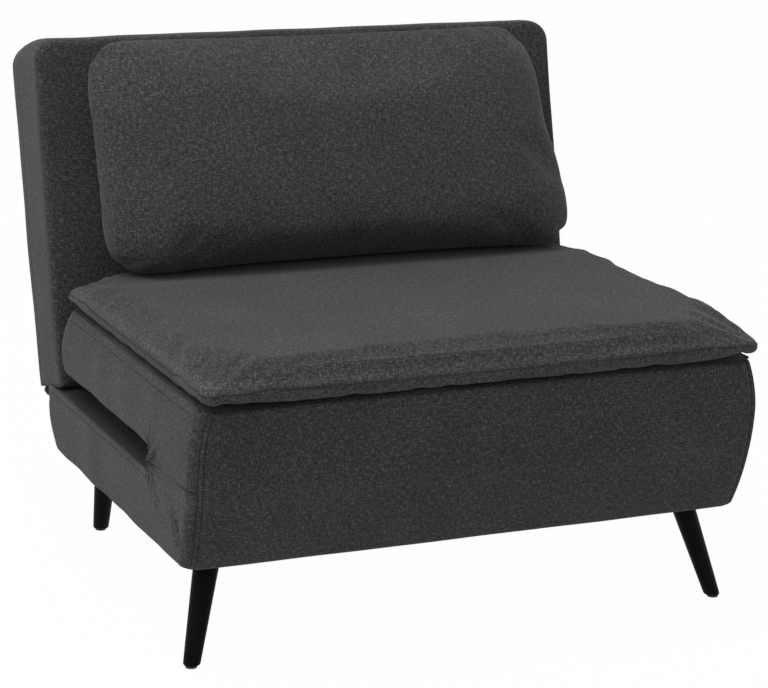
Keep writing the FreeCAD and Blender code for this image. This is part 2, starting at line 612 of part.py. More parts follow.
def hoop_bar(radius, length):
    """Round bar along the leg hoop's centre line, from one pivot round to the other."""
    y, z = HOOP_PIVOT_Y, HOOP_PIVOT_Z
    end = y - length
    bend = HOOP_BEND_RADIUS
    middle = HOOP_ARM_X - bend
    pieces = both_sides(rod(radius, (HOOP_ARM_X, end + bend, z), (HOOP_ARM_X, y, z)))
    pieces.append(rod(radius, (-middle, end, z), (middle, end, z)))
    corner = Part.makeTorus(bend, radius, Vector(0, 0, 0), Vector(0, 0, 1), -180, 180, 90)
    corner.rotate(Vector(0, 0, 0), Vector(0, 0, 1), -90)
    corner.translate(Vector(middle, end + bend, z))
    pieces += both_sides(corner)
    return pieces[0].fuse(pieces[1:]).removeSplitter()


def make_hoop(nodes):
    sleeve_radius = HOOP_TUBE_RADIUS + HOOP_SLEEVE_WALL
    length = 2 * FOLD_AXIS_Z - HOOP_PIVOT_Z - sleeve_radius
    tube = hoop_bar(HOOP_TUBE_RADIUS, length).cut(hoop_bar(HOOP_TUBE_RADIUS - HOOP_TUBE_WALL, length))
    barrel_start = HOOP_ARM_X - HOOP_BARREL_LENGTH / 2
    barrels = both_sides(rod(
        HOOP_BARREL_RADIUS, (barrel_start, HOOP_PIVOT_Y, HOOP_PIVOT_Z),
        (barrel_start + HOOP_BARREL_LENGTH, HOOP_PIVOT_Y, HOOP_PIVOT_Z)))
    bores = both_sides(rod(
        HOOP_PIN_RADIUS + HOOP_PIN_CLEARANCE, (barrel_start - 1, HOOP_PIVOT_Y, HOOP_PIVOT_Z),
        (barrel_start + HOOP_BARREL_LENGTH + 1, HOOP_PIVOT_Y, HOOP_PIVOT_Z)))
    nodes["leg_hoop"] = [tube.fuse(barrels).cut(bores).removeSplitter()]
    y = HOOP_PIVOT_Y - length
    sleeve = rod(sleeve_radius, (HOOP_SLEEVE_X - HOOP_SLEEVE_LENGTH / 2, y, HOOP_PIVOT_Z),
                 (HOOP_SLEEVE_X + HOOP_SLEEVE_LENGTH / 2, y, HOOP_PIVOT_Z))
    bar = rod(HOOP_TUBE_RADIUS + HOOP_SLEEVE_CLEARANCE,
              (0, y, HOOP_PIVOT_Z), (HOOP_ARM_X, y, HOOP_PIVOT_Z))
    nodes["hoop_sleeves"] = both_sides(sleeve.cut(bar))

    rail_face = SEAT_RAIL_OUTER - RAIL_THICKNESS
    bracket = box(
        (rail_face - BRACKET, HOOP_PIVOT_Y + HOOP_PIVOT_INSET - BRACKET_LENGTH,
         HOOP_PIVOT_Z - BRACKET_HEIGHT / 2),
        (rail_face, HOOP_PIVOT_Y + HOOP_PIVOT_INSET, HOOP_PIVOT_Z + BRACKET_HEIGHT / 2))
    nodes["hoop_brackets"] = both_sides(bracket)
    head_x = barrel_start - HOOP_PIN_END_GAP
    pin = rod(HOOP_PIN_RADIUS, (head_x, HOOP_PIVOT_Y, HOOP_PIVOT_Z),
              (rail_face - BRACKET, HOOP_PIVOT_Y, HOOP_PIVOT_Z))
    head = rod(HOOP_PIN_HEAD_RADIUS, (head_x - HOOP_PIN_HEAD, HOOP_PIVOT_Y, HOOP_PIVOT_Z),
               (head_x, HOOP_PIVOT_Y, HOOP_PIVOT_Z))
    nodes["hoop_pins"] = both_sides(pin.fuse(head).removeSplitter())


def tilt_back(shape):
    """Turn a piece drawn upright into the backrest's lean."""
    shape = shape.copy()
    shape.translate(Vector(0, BACK_FACE_Y, BACK_FOOT_Z))
    shape.rotate(Vector(0, BACK_FACE_Y, BACK_FOOT_Z), Vector(1, 0, 0), -BACK_RECLINE)
    return shape


def upright_pivot():
    """Backrest pivot, in the upright drawing of the backrest."""
    dy = BACK_PIVOT_Y - BACK_FACE_Y
    dz = BACK_PIVOT_Z - BACK_FOOT_Z
    return dy * math.cos(LEAN) - dz * math.sin(LEAN), dy * math.sin(LEAN) + dz * math.cos(LEAN)


def back_profile(inset):
    """Side outline of the upright backrest, with its crowned front and rolled top."""
    def at(depth, height):
        return Vector(0, depth, height)
    shoulder = BACK_HEIGHT - BACK_SHOULDER_DROP - inset
    top = at(BACK_THICKNESS_HIGH / 2, BACK_HEIGHT - inset)
    foot = [at(inset, BACK_FOOT_FRONT_RISE + inset),
            at(BACK_THICKNESS_LOW / 2, BACK_FOOT_MIDDLE_RISE + inset),
            at(BACK_THICKNESS_LOW - inset, BACK_FOOT_REAR_RISE + inset)]
    front_top = at(inset, shoulder)
    rear_top = at(BACK_THICKNESS_HIGH - inset, shoulder)
    crown = at(inset - BACK_CROWN, (foot[0].z + shoulder) / 2)
    roll = BACK_TOP_ROLL
    brow = BACK_HEIGHT - BACK_TOP_CROWN - inset
    front_brow = at(inset + roll, brow)
    rear_brow = at(rear_top.y - roll, brow)
    near, far = 1 - math.sqrt(0.5), math.sqrt(0.5)
    front_bend = at(front_top.y + near * roll, shoulder + far * (brow - shoulder))
    rear_bend = at(rear_top.y - near * roll, shoulder + far * (brow - shoulder))
    edges = [
        Part.makeLine(foot[2], foot[1]),
        Part.makeLine(foot[1], foot[0]),
        Part.Arc(foot[0], crown, front_top).toShape(),
        Part.Arc(front_top, front_bend, front_brow).toShape(),
        Part.Arc(front_brow, top, rear_brow).toShape(),
        Part.Arc(rear_brow, rear_bend, rear_top).toShape(),
        Part.makeLine(rear_top, foot[2]),
    ]
    return Part.Wire(edges)


def back_body(inset):
    """Upright backrest solid with rounded top corners and soft side edges."""
    half = HALF_WIDTH - inset
    face = Part.Face(back_profile(inset))
    face.translate(Vector(-half, 0, 0))
    body = face.extrude(Vector(2 * half, 0, 0))
    radius = BACK_CORNER_RADIUS
    top = BACK_HEIGHT - inset
    corner = box((half - radius, -BIG / 4, top - radius), (half + 1, BIG / 4, top + 1))
    corner = corner.cut(rod(radius, (half - radius, -BIG / 4, top - radius),
                            (half - radius, BIG / 4, top - radius)))
    return body.cut(both_sides(corner))


def make_backrest(nodes):
    depth_end = BACK_POST_FRONT + BACK_POST_DEPTH
    frame_top = BACK_HEIGHT - BACK_FRAME_TOP_DROP
    outer_x = BACK_POST_INNER + RAIL_THICKNESS
    upright = {}
    upright["back_side_posts"] = both_sides(box(
        (BACK_POST_INNER, BACK_POST_FRONT, BACK_POST_FOOT), (outer_x, depth_end, frame_top)))
    upright["back_top_rail"] = [box(
        (-BACK_POST_INNER, BACK_POST_FRONT, frame_top - BACK_RAIL_HEIGHT),
        (BACK_POST_INNER, depth_end, frame_top))]
    bottom_x = BACK_POST_INNER - ARM_THICKNESS - ARM_SIDE_GAP
    upright["back_bottom_rail"] = [box(
        (-bottom_x, BACK_POST_FRONT, BACK_POST_FOOT),
        (bottom_x, depth_end, BACK_POST_FOOT + BACK_RAIL_HEIGHT))]
    low = BACK_POST_FOOT + BACK_RAIL_HEIGHT
    pitch = (frame_top - BACK_RAIL_HEIGHT - low - WEBBING_WIDTH) / (WEBBING_COUNT - 1)
    upright["back_webbing"] = [
        box((-outer_x, BACK_POST_FRONT - WEBBING, low + index * pitch),
            (outer_x, BACK_POST_FRONT, low + index * pitch + WEBBING_WIDTH))
        for index in range(WEBBING_COUNT)]

    outer = back_body(0)
    cavity = back_body(COVER)
    middle = BACK_POST_INNER - ARM_THICKNESS / 2
    pivot_depth, pivot_height = upright_pivot()
    slit = both_sides(box(
        (middle - ARM_THICKNESS / 2 - 1, pivot_depth - ARM_WIDTH / 2 - 1, -BACK_HEIGHT),
        (middle + ARM_THICKNESS / 2 + 1, pivot_depth + ARM_WIDTH / 2 + 1, BACK_POST_FOOT + 8)))
    upright["back_cover"] = [outer.cut(cavity).cut(slit)]
    hem_x = HALF_WIDTH - BACK_HEM_INSET
    hem_depth = BACK_THICKNESS_LOW + BACK_FOOT_MIDDLE_RISE / 2
    hem = rod(BACK_HEM_RADIUS, (-hem_x, hem_depth, 0), (hem_x, hem_depth, 0))
    upright["back_hem"] = [hem.cut(outer)]
    soft = back_body(COVER + BACK_FOAM_GAP)
    foam_floor = BACK_POST_FOOT
    upright["back_front_foam"] = [soft.common(box(
        (-BIG / 2, -BIG / 2, foam_floor), (BIG / 2, BACK_POST_FRONT - WEBBING - FOAM_GAP, BIG)))]
    upright["back_rear_foam"] = [soft.common(box(
        (-BIG / 2, depth_end + FOAM_GAP, foam_floor), (BIG / 2, BIG / 2, BIG)))]

    arm_outer = BACK_POST_INNER
    arm_inner = arm_outer - ARM_THICKNESS
    arm = box((arm_inner, pivot_depth - ARM_WIDTH / 2, pivot_height),
              (arm_outer, pivot_depth + ARM_WIDTH / 2, ARM_TOP))
    boss = rod(ARM_WIDTH / 2, (arm_inner, pivot_depth, pivot_height),
               (arm_outer, pivot_depth, pivot_height))
    bore = rod(PIVOT_PIN_RADIUS + PIVOT_CLEARANCE, (arm_inner - 1, pivot_depth, pivot_height),
               (arm_outer + 1, pivot_depth, pivot_height))
    upright["back_hinge_arms"] = both_sides(arm.fuse(boss).cut(bore).removeSplitter())
    for name, solids in upright.items():
        nodes[name] = [tilt_back(solid) for solid in solids]


def pivot_plates(clearance):
    """Steel plates on the side rails that carry the backrest pivots."""
    rail_face = BASE_RAIL_OUTER - RAIL_THICKNESS
    rear = BACK_PIVOT_Y + PIVOT_PLATE_TAIL
    half_height = PIVOT_PLATE_HEIGHT / 2 + clearance
    return both_sides(box(
        (rail_face - PIVOT_PLATE - clearance, rear - PIVOT_PLATE_REACH - clearance,
         BACK_PIVOT_Z - half_height),
        (rail_face + clearance, rear + clearance, BACK_PIVOT_Z + half_height)))


def make_back_pivots(nodes):
    plate_inner = BASE_RAIL_OUTER - RAIL_THICKNESS - PIVOT_PLATE
    nodes["back_pivot_plates"] = pivot_plates(0)
    head_x = BACK_POST_INNER - ARM_THICKNESS - ARM_SIDE_GAP
    pin = rod(PIVOT_PIN_RADIUS, (head_x, BACK_PIVOT_Y, BACK_PIVOT_Z),
              (plate_inner, BACK_PIVOT_Y, BACK_PIVOT_Z))
    head = rod(PIVOT_PIN_HEAD_RADIUS, (head_x - PIVOT_PIN_HEAD, BACK_PIVOT_Y, BACK_PIVOT_Z),
               (head_x, BACK_PIVOT_Y, BACK_PIVOT_Z))
    nodes["back_pivot_pins"] = both_sides(pin.fuse(head).removeSplitter())
    for name in ("base_corner_blocks", "base_rear_rail"):
        nodes[name] = [solid.cut(nodes["back_pivot_plates"]) for solid in nodes[name]]


def topper_outline(z, inset):
    return rounded_outline(z, TOPPER_HALF_WIDTH - inset, TOPPER_FRONT + inset, TOPPER_REAR - inset,
                           TOPPER_CORNER_RADIUS, TOPPER_CORNER_RADIUS)


def make_topper(nodes):
    """Seat topper: two lofts that meet in the seam round its edge."""
    seam_z = TOPPER_BOTTOM + TOPPER_SEAM_HEIGHT
    seam = topper_outline(seam_z, 0)
    middle = (TOPPER_BOTTOM + seam_z) / 2
    lower = Part.makeLoft([topper_outline(TOPPER_BOTTOM, TOPPER_EDGE_DRAW),
                           topper_outline(middle, TOPPER_EDGE_DRAW * TOPPER_MIDDLE_SHARE), seam], True, True)
    rise = TOPPER_TOP - seam_z
    crown = [topper_outline(seam_z + rise * share, TOPPER_CROWN_DRAW * draw)
             for share, draw in TOPPER_CROWN_STEPS]
    upper = Part.makeLoft([seam] + crown, True, True)
    nodes["seat_topper"] = [lower.fuse(upper)]


def pillow_outline(offset, width, height, draw):
    """Upright pillow outline: four sides drawn in between the corners."""
    corners = [(-width, -height), (width, -height), (width, height), (-width, height)]
    edges = []
    for index, (x, z) in enumerate(corners):
        next_x, next_z = corners[(index + 1) % 4]
        middle_x = (x + next_x) / 2
        middle_z = (z + next_z) / 2
        middle_x -= math.copysign(draw, middle_x) if abs(middle_x) > 1 else 0
        middle_z -= math.copysign(draw, middle_z) if abs(middle_z) > 1 else 0
        edges.append(Part.Arc(Vector(x, offset, z), Vector(middle_x, offset, middle_z),
                              Vector(next_x, offset, next_z)).toShape())
    return Part.Wire(edges)


def make_cushion(nodes):
    """Back cushion: two bulged halves that meet in the knife-edge seam."""
    seam = pillow_outline(0, CUSHION_HALF_WIDTH, CUSHION_HALF_HEIGHT, CUSHION_SIDE_DRAW)
    halves = []
    for bulge in (-CUSHION_FRONT_BULGE, CUSHION_REAR_BULGE):
        outlines = [seam]
        for share, inset in CUSHION_BULGE_STEPS:
            draw = CUSHION_SIDE_DRAW * (1 - CUSHION_FULLNESS * share)
            outlines.append(pillow_outline(
                bulge * share, CUSHION_HALF_WIDTH - inset, CUSHION_HALF_HEIGHT - inset, draw))
        halves.append(Part.makeLoft(outlines, True, True))
    pillow = halves[0].fuse(halves[1])
    pillow.rotate(Vector(0, 0, 0), Vector(1, 0, 0), -CUSHION_LEAN)
    face_y = BACK_FACE_Y + (CUSHION_CENTRE_Z - BACK_FOOT_Z) * math.tan(LEAN)
    pillow.translate(Vector(0, face_y - CUSHION_STAND_OFF, CUSHION_CENTRE_Z))
    room = box((-BIG / 2, -BIG / 2, TOPPER_TOP + SOFT_GAP), (BIG / 2, BIG / 2, BIG))
    behind = tilt_back(box((-BIG / 2, -BACK_CROWN - SOFT_GAP, -BIG / 4), (BIG / 2, BIG / 2, BIG)))
    nodes["back_cushion"] = [pillow.common(room).cut(behind)]


def main():
    os.makedirs("parts", exist_ok=True)
    nodes = {}
    make_base(nodes)
    make_legs(nodes)
    make_seat(nodes)
    make_fold_hinges(nodes)
    make_hoop(nodes)
    make_backrest(nodes)
    make_back_pivots(nodes)
    make_topper(nodes)
    make_cushion(nodes)
    for name, solids in nodes.items():
        shape = Part.makeCompound(solids)
        shape.translate(Vector(0, -CENTRE_Y, 0))
        shape.exportStep("parts/" + name + ".step")
        extent = shape.BoundBox
        print("%-22s %2d solids  y %8.1f %8.1f  z %7.1f %7.1f  x %7.1f  ok %s" % (
            name, len(shape.Solids), extent.YMin, extent.YMax, extent.ZMin, extent.ZMax,
            extent.XMax, shape.isValid()))


main()
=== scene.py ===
"""Convertible chair bed: fabric, stitching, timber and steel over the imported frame."""
import json
import logging
import math
from collections.abc import Callable, Iterable, Sequence
from dataclasses import dataclass
from enum import Enum

import bmesh
import bpy
import numpy as np
from mathutils import Matrix, Vector, noise
from mathutils.bvhtree import BVHTree


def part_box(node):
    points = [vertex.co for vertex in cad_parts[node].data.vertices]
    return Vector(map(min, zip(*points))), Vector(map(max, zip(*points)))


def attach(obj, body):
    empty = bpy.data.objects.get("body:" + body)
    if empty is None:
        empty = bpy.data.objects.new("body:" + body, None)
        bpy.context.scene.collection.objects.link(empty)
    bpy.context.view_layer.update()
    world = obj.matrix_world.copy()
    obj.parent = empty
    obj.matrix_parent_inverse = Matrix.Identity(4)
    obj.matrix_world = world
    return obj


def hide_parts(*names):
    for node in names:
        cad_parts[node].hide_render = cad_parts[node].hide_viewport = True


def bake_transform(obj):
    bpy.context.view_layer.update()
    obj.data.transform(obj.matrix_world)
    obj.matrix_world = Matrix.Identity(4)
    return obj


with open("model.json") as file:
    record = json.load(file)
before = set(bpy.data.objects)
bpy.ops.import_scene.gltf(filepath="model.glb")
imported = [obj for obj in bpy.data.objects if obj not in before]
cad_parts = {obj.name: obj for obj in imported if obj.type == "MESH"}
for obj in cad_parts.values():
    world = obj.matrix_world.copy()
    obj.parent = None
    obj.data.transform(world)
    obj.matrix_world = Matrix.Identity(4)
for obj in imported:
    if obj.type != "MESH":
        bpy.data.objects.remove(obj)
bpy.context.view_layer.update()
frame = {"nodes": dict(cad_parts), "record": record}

log = logging.getLogger("chair")
Point = tuple[float, float, float]
Shaper = Callable[[Vector], Vector]
Socket = bpy.types.NodeSocket
Net = bmesh.types.BMesh
Thing = bpy.types.Object

MILLIMETRES = 1000
MERGE_DISTANCE = 0.0004
EDGE_CUTS = (0.0012, 0.0028, 0.0048)
FINE_CELL = 0.0045
FINE_START = -0.400
FINE_COUNT = 35
SEAM_CUTS = (-0.005, -0.0025, 0.0, 0.0025, 0.005)
CLOTH_WALL = 0.002
SHEET_WALL = 0.0005
SWELL_FRAMES = 20
STITCH_SPREAD = 1.25
STITCH_PRESS = 0.8
LEVEL_WEAVE = 0.75
LEVEL_FIRST = 1.05
HANDS = ((-1, "right"), (1, "left"))


def linear(hex_colour: str) -> tuple[float, float, float, float]:
    """Turn an sRGB hex colour into linear RGBA.

    Args:
        hex_colour: Colour such as "#4a4a4c".
    Returns:
        Linear red, green and blue with an alpha of 1.
    """
    channels = [int(hex_colour[i:i + 2], 16) / 255 for i in (1, 3, 5)]
    values = [c / 12.92 if c <= 0.04045 else ((c + 0.055) / 1.055) ** 2.4 for c in channels]
    return values[0], values[1], values[2], 1.0


def smooth_step(value: float, low: float, high: float) -> float:
    """Ease from 0 at low to 1 at high."""
    share = min(1.0, max(0.0, (value - low) / (high - low)))
    return share * share * (3 - 2 * share)


def bump_at(distance: float, width: float) -> float:
    """Bell curve of height 1 that falls off over a width."""
    return math.exp(-(distance / width) ** 2)


def spaced(start: float, end: float, steps: int) -> list[float]:
    """Evenly spaced values from start to end."""
    return [start + (end - start) * i / steps for i in range(steps + 1)]


class Graph:
    """Shader nodes of one material or world."""

    def __init__(self, tree: bpy.types.NodeTree) -> None:
        """Empty the tree and keep it."""
        tree.nodes.clear()
        self.tree = tree

    def wire(self, node: bpy.types.Node, inputs: dict) -> None:
        """Set inputs, by name or index, to values, or link them from sockets."""
        for key, value in inputs.items():
            if isinstance(value, Socket):
                self.tree.links.new(value, node.inputs[key])
            else:
                node.inputs[key].default_value = value

    def add(self, kind: str, inputs: dict | None = None, **settings: object) -> bpy.types.Node:
        """Add a node.

        Args:
            kind: Node type without its leading ShaderNode.
            inputs: Values, or sockets to link from, by input name or index.
            **settings: Attributes to set on the node.
        Returns:
            The new node.
        """
        made = self.tree.nodes.new("ShaderNode" + kind)
        for key, value in settings.items():
            setattr(made, key, value)
        self.wire(made, inputs or {})
        return made

    def place(self, kind: str = "Object") -> Socket:
        """Coordinates of the shaded point."""
        return self.add("TexCoord").outputs[kind]

    def math(self, operation: str, *values: object) -> Socket:
        """Result of an operation on one to three values."""
        return self.add("Math", dict(enumerate(values)), operation=operation).outputs[0]

    def scaled(self, vector: object, scale: object) -> Socket:
        """A vector or colour times a factor."""
        return self.add("VectorMath", {0: vector, "Scale": scale}, operation="SCALE").outputs[0]

    def spread(self, value: Socket, start: float, end: float, low: float = 0.0,
               high: float = 1.0) -> Socket:
        """Turn the range from start to end into the range from low to high."""
        return self.add("MapRange", {0: value, 1: start, 2: end, 3: low, 4: high}).outputs[0]

    def noise(self, place: Socket, scale: float, detail: float, roughness: float = 0.5) -> Socket:
        """Smooth noise over a place."""
        inputs = {"Vector": place, "Scale": scale, "Detail": detail, "Roughness": roughness}
        return self.add("TexNoise", inputs).outputs["Fac"]

    def relief(self, height: Socket, strength: float, distance: float) -> Socket:
        """Normal bent by a height."""
        return self.add("Bump", {"Height": height, "Strength": strength, "Distance": distance}).outputs[0]

    def ramp(self, factor: Socket, stops: Sequence[tuple[float, str]]) -> Socket:
        """Colour ramp through hex colours at their positions."""
        made = self.add("ValToRGB", {"Fac": factor})
        elements = made.color_ramp.elements
        for element, (position, colour) in zip(elements, (stops[0], stops[-1])):
            element.position = position
            element.color = linear(colour)
        for position, colour in stops[1:-1]:
            elements.new(position).color = linear(colour)
        return made.outputs["Color"]


@dataclass(frozen=True)
class Finish:
    """A material and the record's slot that it stands for."""

    name: str
    slot: str

    def material(self) -> bpy.types.Material:
        """Give the finish's material, made once."""
        known = bpy.data.materials.get(self.name)
        if known:
            return known
        made = bpy.data.materials.new(self.name)
        made.use_nodes = True
        graph = Graph(made.node_tree)
        shader = graph.add("BsdfPrincipled")
        graph.add("OutputMaterial", {"Surface": shader.outputs["BSDF"]})
        graph.wire(shader, self.look(graph))
        return made

    def look(self, graph: Graph) -> dict[str, object]:
        """Give the shader's inputs; each finish has its own."""
        raise NotImplementedError


@dataclass(frozen=True)
class MelangeWeave(Finish):
    """Woven polyester of mixed light and dark yarns: matte and flecked, with a faint bloom."""

    thread: float = 1.4
    fleck_length: float = 4.5
    dark: str = "#1c1c1e"
    middle: str = "#333335"
    light: str = "#636366"
    relief: float = 0.5

    def look(self, graph: Graph) -> dict[str, object]:
        """Weave two sets of flecked threads over each other.

        The real threads are about 0.6 mm apart, too fine to show in the render, so they are
        drawn at the thread field's spacing, in millimetres.

        Args:
            graph: Nodes of the material.
        Returns:
            The shader's inputs by name.
        """
        cloth = graph.scaled(graph.place("UV"), MILLIMETRES / self.thread)
        split = graph.add("SeparateXYZ", {0: cloth})
        waves = [graph.math("SINE", graph.math("MULTIPLY", split.outputs[axis], math.pi)) for axis in "XY"]
        over = graph.math("MULTIPLY", *waves)
        mask = graph.spread(over, -0.35, 0.35)
        squeeze = self.thread / self.fleck_length
        flecks = []
        for stretch in ((1.0, squeeze, 1.0), (squeeze, 1.0, 1.0)):
            run = graph.add("Mapping", {"Vector": cloth, "Scale": stretch}).outputs[0]
            flecks.append(graph.noise(run, scale=0.55, detail=3.0, roughness=0.8))
        fleck = graph.add("Mix", {0: mask, 2: flecks[0], 3: flecks[1]}).outputs[0]
        colour = graph.ramp(fleck, ((0.34, self.dark), (0.5, self.middle), (0.64, self.light)))
        cloud = graph.noise(graph.place(), scale=9.0, detail=4.0)
        # Positive wear lightens rubbed edges; negative values darken the cloth as painted shade in
        # recesses.
        wear_and_shade = graph.add("Attribute", attribute_name="wear_and_shade").outputs["Fac"]
        shade = graph.math("MULTIPLY_ADD", wear_and_shade, 0.55, graph.spread(cloud, 0.3, 0.7, low=0.9, high=1.1))
        height = graph.math("MULTIPLY_ADD", graph.math("ABSOLUTE", over), 0.6, fleck)
        return {"Base Color": graph.scaled(colour, shade),
                "Normal": graph.relief(height, self.relief, distance=0.0006),
                "Roughness": 0.92, "Specular IOR Level": 0.25,
                "Sheen Weight": 0.12, "Sheen Roughness": 0.45}


@dataclass(frozen=True)
class Timber(Finish):
    """Sawn or planed wood: long grain bands with fine pores across the end."""

    early: str = "#c9a877"
    late: str = "#a47c4c"
    ring: float = 9.0
    fibre: float = 1.2
    roughness: float = 0.6
    gloss: float = 0.4
    relief: float = 0.25

    def look(self, graph: Graph) -> dict[str, object]:
        """Draw grain bands and fibres, stretched along X and a little along Z."""
        run = graph.add("Mapping", {"Vector": graph.place(), "Scale": (0.06, 1.0, 0.35)}).outputs[0]
        bands = graph.noise(run, scale=MILLIMETRES / (self.ring * 4), detail=5.0)
        fibre = graph.noise(run, scale=MILLIMETRES / self.fibre, detail=2.0)
        mixed = graph.math("MULTIPLY_ADD", fibre, 0.35, bands)
        return {"Base Color": graph.ramp(mixed, ((0.45, self.late), (0.6, self.early), (0.95, self.early))),
                "Normal": graph.relief(mixed, self.relief, distance=0.0004),
                "Roughness": self.roughness, "Specular IOR Level": self.gloss}


@dataclass(frozen=True)
class Metal(Finish):
    """Plated or painted steel: even colour with fine drawn scratches and a soft patchy gloss."""

    tint: str
    metallic: float = 0.9
    roughness: float = 0.4
    grain: float = 0.8

    def look(self, graph: Graph) -> dict[str, object]:
        """Vary the tone and gloss over patches, with fine scratches of the grain size in millimetres."""
        place = graph.place()
        fine = graph.noise(place, scale=MILLIMETRES / self.grain, detail=2.0)
        patch = graph.noise(place, scale=25.0, detail=4.0)
        shade = graph.spread(patch, 0.3, 0.7, low=0.88, high=1.06)
        gloss = graph.spread(patch, 0.3, 0.7, low=self.roughness - 0.08, high=self.roughness + 0.1)
        return {"Base Color": graph.scaled(linear(self.tint)[:3], shade),
                "Normal": graph.relief(fine, strength=0.12, distance=0.0002),
                "Roughness": gloss, "Metallic": self.metallic}


@dataclass(frozen=True)
class Pressed(Finish):
    """Felted, foamed, rubbery or moulded stuff: fine random grain with soft shading."""

    low: str = "#141415"
    high: str = "#242426"
    grain: float = 1.5
    roughness: float = 0.85
    relief: float = 0.5

    def look(self, graph: Graph) -> dict[str, object]:
        """Mix two tones by fine noise of the grain size in millimetres."""
        fine = graph.noise(graph.place(), scale=MILLIMETRES / self.grain, detail=4.0, roughness=0.7)
        return {"Base Color": graph.ramp(fine, ((0.35, self.low), (0.65, self.high))),
                "Normal": graph.relief(fine, self.relief, distance=0.0005),
                "Roughness": self.roughness}


class Use(Enum):
    """What each piece is made of."""

    COVER = MelangeWeave("woven polyester, body", "charcoal_fabric")
    PAD = MelangeWeave("woven polyester, pads", "seat_weave", dark="#1e1e20", middle="#37373a",
                       light="#69696c")
    THREAD = Pressed("polyester sewing thread", "charcoal_fabric", low="#0e0e0f", high="#1e1e20",
                     grain=1.0, roughness=0.8)
    LEG = Timber("beech, stained and lacquered black", "black_wood", early="#0a0909", late="#050505",
                 ring=6.0, roughness=0.5, gloss=0.06, relief=0.1)
    PINE = Timber("pine, sawn", "pine", early="#d2b080", late="#ad8350")
    BIRCH = Timber("birch plywood, planed", "birch", early="#dcc39a", late="#c4a273", ring=5.0,
                   roughness=0.5)
    ZINC = Metal("steel, zinc plated", "zinc_steel", tint="#6f7276", roughness=0.5)
    COATED = Metal("steel tube, powder coated", "black_steel", tint="#18181a", metallic=0.0,
                   roughness=0.45, grain=1.6)
    FOAM = Pressed("polyurethane foam", "foam", low="#c9c0a2", high="#e2dabf", grain=2.0)
    DUST = Pressed("spun-bonded polypropylene", "dust_cloth", low="#111112", high="#1f1f21", grain=3.0)
    WEBBING = Pressed("elastic webbing", "webbing", low="#2c2a29", high="#55524f", grain=2.2)
    GRIP = Pressed("hook and loop tape", "grip_strip", low="#0c0c0d", high="#222224", grain=1.2)
    GLIDE = Pressed("polyethylene, moulded", "glide", low="#1a1a1a", high="#202020", grain=0.8,
                    roughness=0.45, relief=0.1)
    SLEEVE = Pressed("rubber, moulded", "sleeve", low="#131313", high="#1b1b1b", grain=0.8,
                     roughness=0.7, relief=0.15)


CAD_FINISHES: dict[str, Use] = {use.value.slot: use for use in Use if use is not Use.THREAD}


def cuboid(size: Sequence[float], centre: Sequence[float]) -> Net:
    """Plain box of a size about a centre."""
    bm = bmesh.new()
    bmesh.ops.create_cube(bm, size=1.0)
    bmesh.ops.scale(bm, vec=size, verts=bm.verts)
    bmesh.ops.translate(bm, vec=centre, verts=bm.verts)
    return bm


def level_grid(wide: float, deep: float, centre: Sequence[float], cells: tuple[int, int]) -> Net:
    """Level grid about a centre."""
    bm = bmesh.new()
    bmesh.ops.create_grid(bm, x_segments=cells[0], y_segments=cells[1], size=0.5)
    bmesh.ops.scale(bm, vec=(wide, deep, 1), verts=bm.verts)
    bmesh.ops.translate(bm, vec=centre, verts=bm.verts)
    return bm


def round_edges(bm: Net, edges: list[bmesh.types.BMEdge], radius: float, segments: int) -> None:
    """Round off some edges."""
    bmesh.ops.bevel(bm, geom=edges, offset=radius, segments=segments, profile=0.5, affect="EDGES",
                    material=-1)


def join_up(bm: Net, distance: float = MERGE_DISTANCE) -> None:
    """Merge doubled points and turn the faces outwards."""
    bmesh.ops.remove_doubles(bm, verts=bm.verts, dist=distance)
    bmesh.ops.recalc_face_normals(bm, faces=bm.faces)


def block(low: Point, high: Point, cell: float, upright: float,
          cuts: Iterable[tuple[int, float]] = ()) -> Net:
    """Box with rounded upright corners, cut into a grid that is finer along the edges.

    Args:
        low: Lowest corner.
        high: Highest corner.
        cell: Grid spacing.
        upright: Radius of the upright corners.
        cuts: More cuts, as axis number and place.
    Returns:
        The box as a bmesh.
    """
    size = [b - a for a, b in zip(low, high)]
    bm = cuboid(size, [(a + b) / 2 for a, b in zip(low, high)])
    if upright:
        edges = [e for e in bm.edges if abs(e.verts[0].co.z - e.verts[1].co.z) > size[2] / 2]
        round_edges(bm, edges, upright, 6)
    places = [(axis, place) for axis in range(3)
              for place in spaced(low[axis], high[axis], max(1, round(size[axis] / cell)))[1:-1]]
    for step in EDGE_CUTS:
        places += [(axis, place) for axis in range(3) for place in (low[axis] + step, high[axis] - step)]
    for axis, place in [*places, *cuts]:
        slice_at(bm, axis, place)
    join_up(bm)
    return bm


def fine_cuts(low: float, high: float) -> list[tuple[int, float]]:
    """Cuts for a finer grid round the slot's front end, between two heights."""
    along = [(1, FINE_START + FINE_CELL * i) for i in range(FINE_COUNT)]
    edge = [(1, FORM.slot_front + step) for step in SEAM_CUTS]
    upright = [(2, low + FINE_CELL * i) for i in range(1, int((high - low) / FINE_CELL))]
    return along + edge + upright


def slice_at(bm: Net, axis: int, place: float) -> None:
    """Cut every face along a plane across an axis."""
    normal = Vector(number == axis for number in range(3))
    bmesh.ops.bisect_plane(bm, geom=bm.verts[:] + bm.edges[:] + bm.faces[:], dist=1e-6,
                           plane_co=normal * place, plane_no=normal)


def shape(bm: Net, shaper: Shaper) -> None:
    """Move every vertex to where a function sends it."""
    for vertex in bm.verts:
        vertex.co = shaper(vertex.co)


def ruffle(bm: Net, depth: float, spacing: float, seed: float) -> None:
    """Push the surface in and out along its normals by smooth noise."""
    bm.normal_update()
    moves = [noise.noise(v.co / spacing + Vector((seed, seed, seed))) * depth for v in bm.verts]
    for vertex, move in zip(bm.verts, moves):
        vertex.co += vertex.normal * move


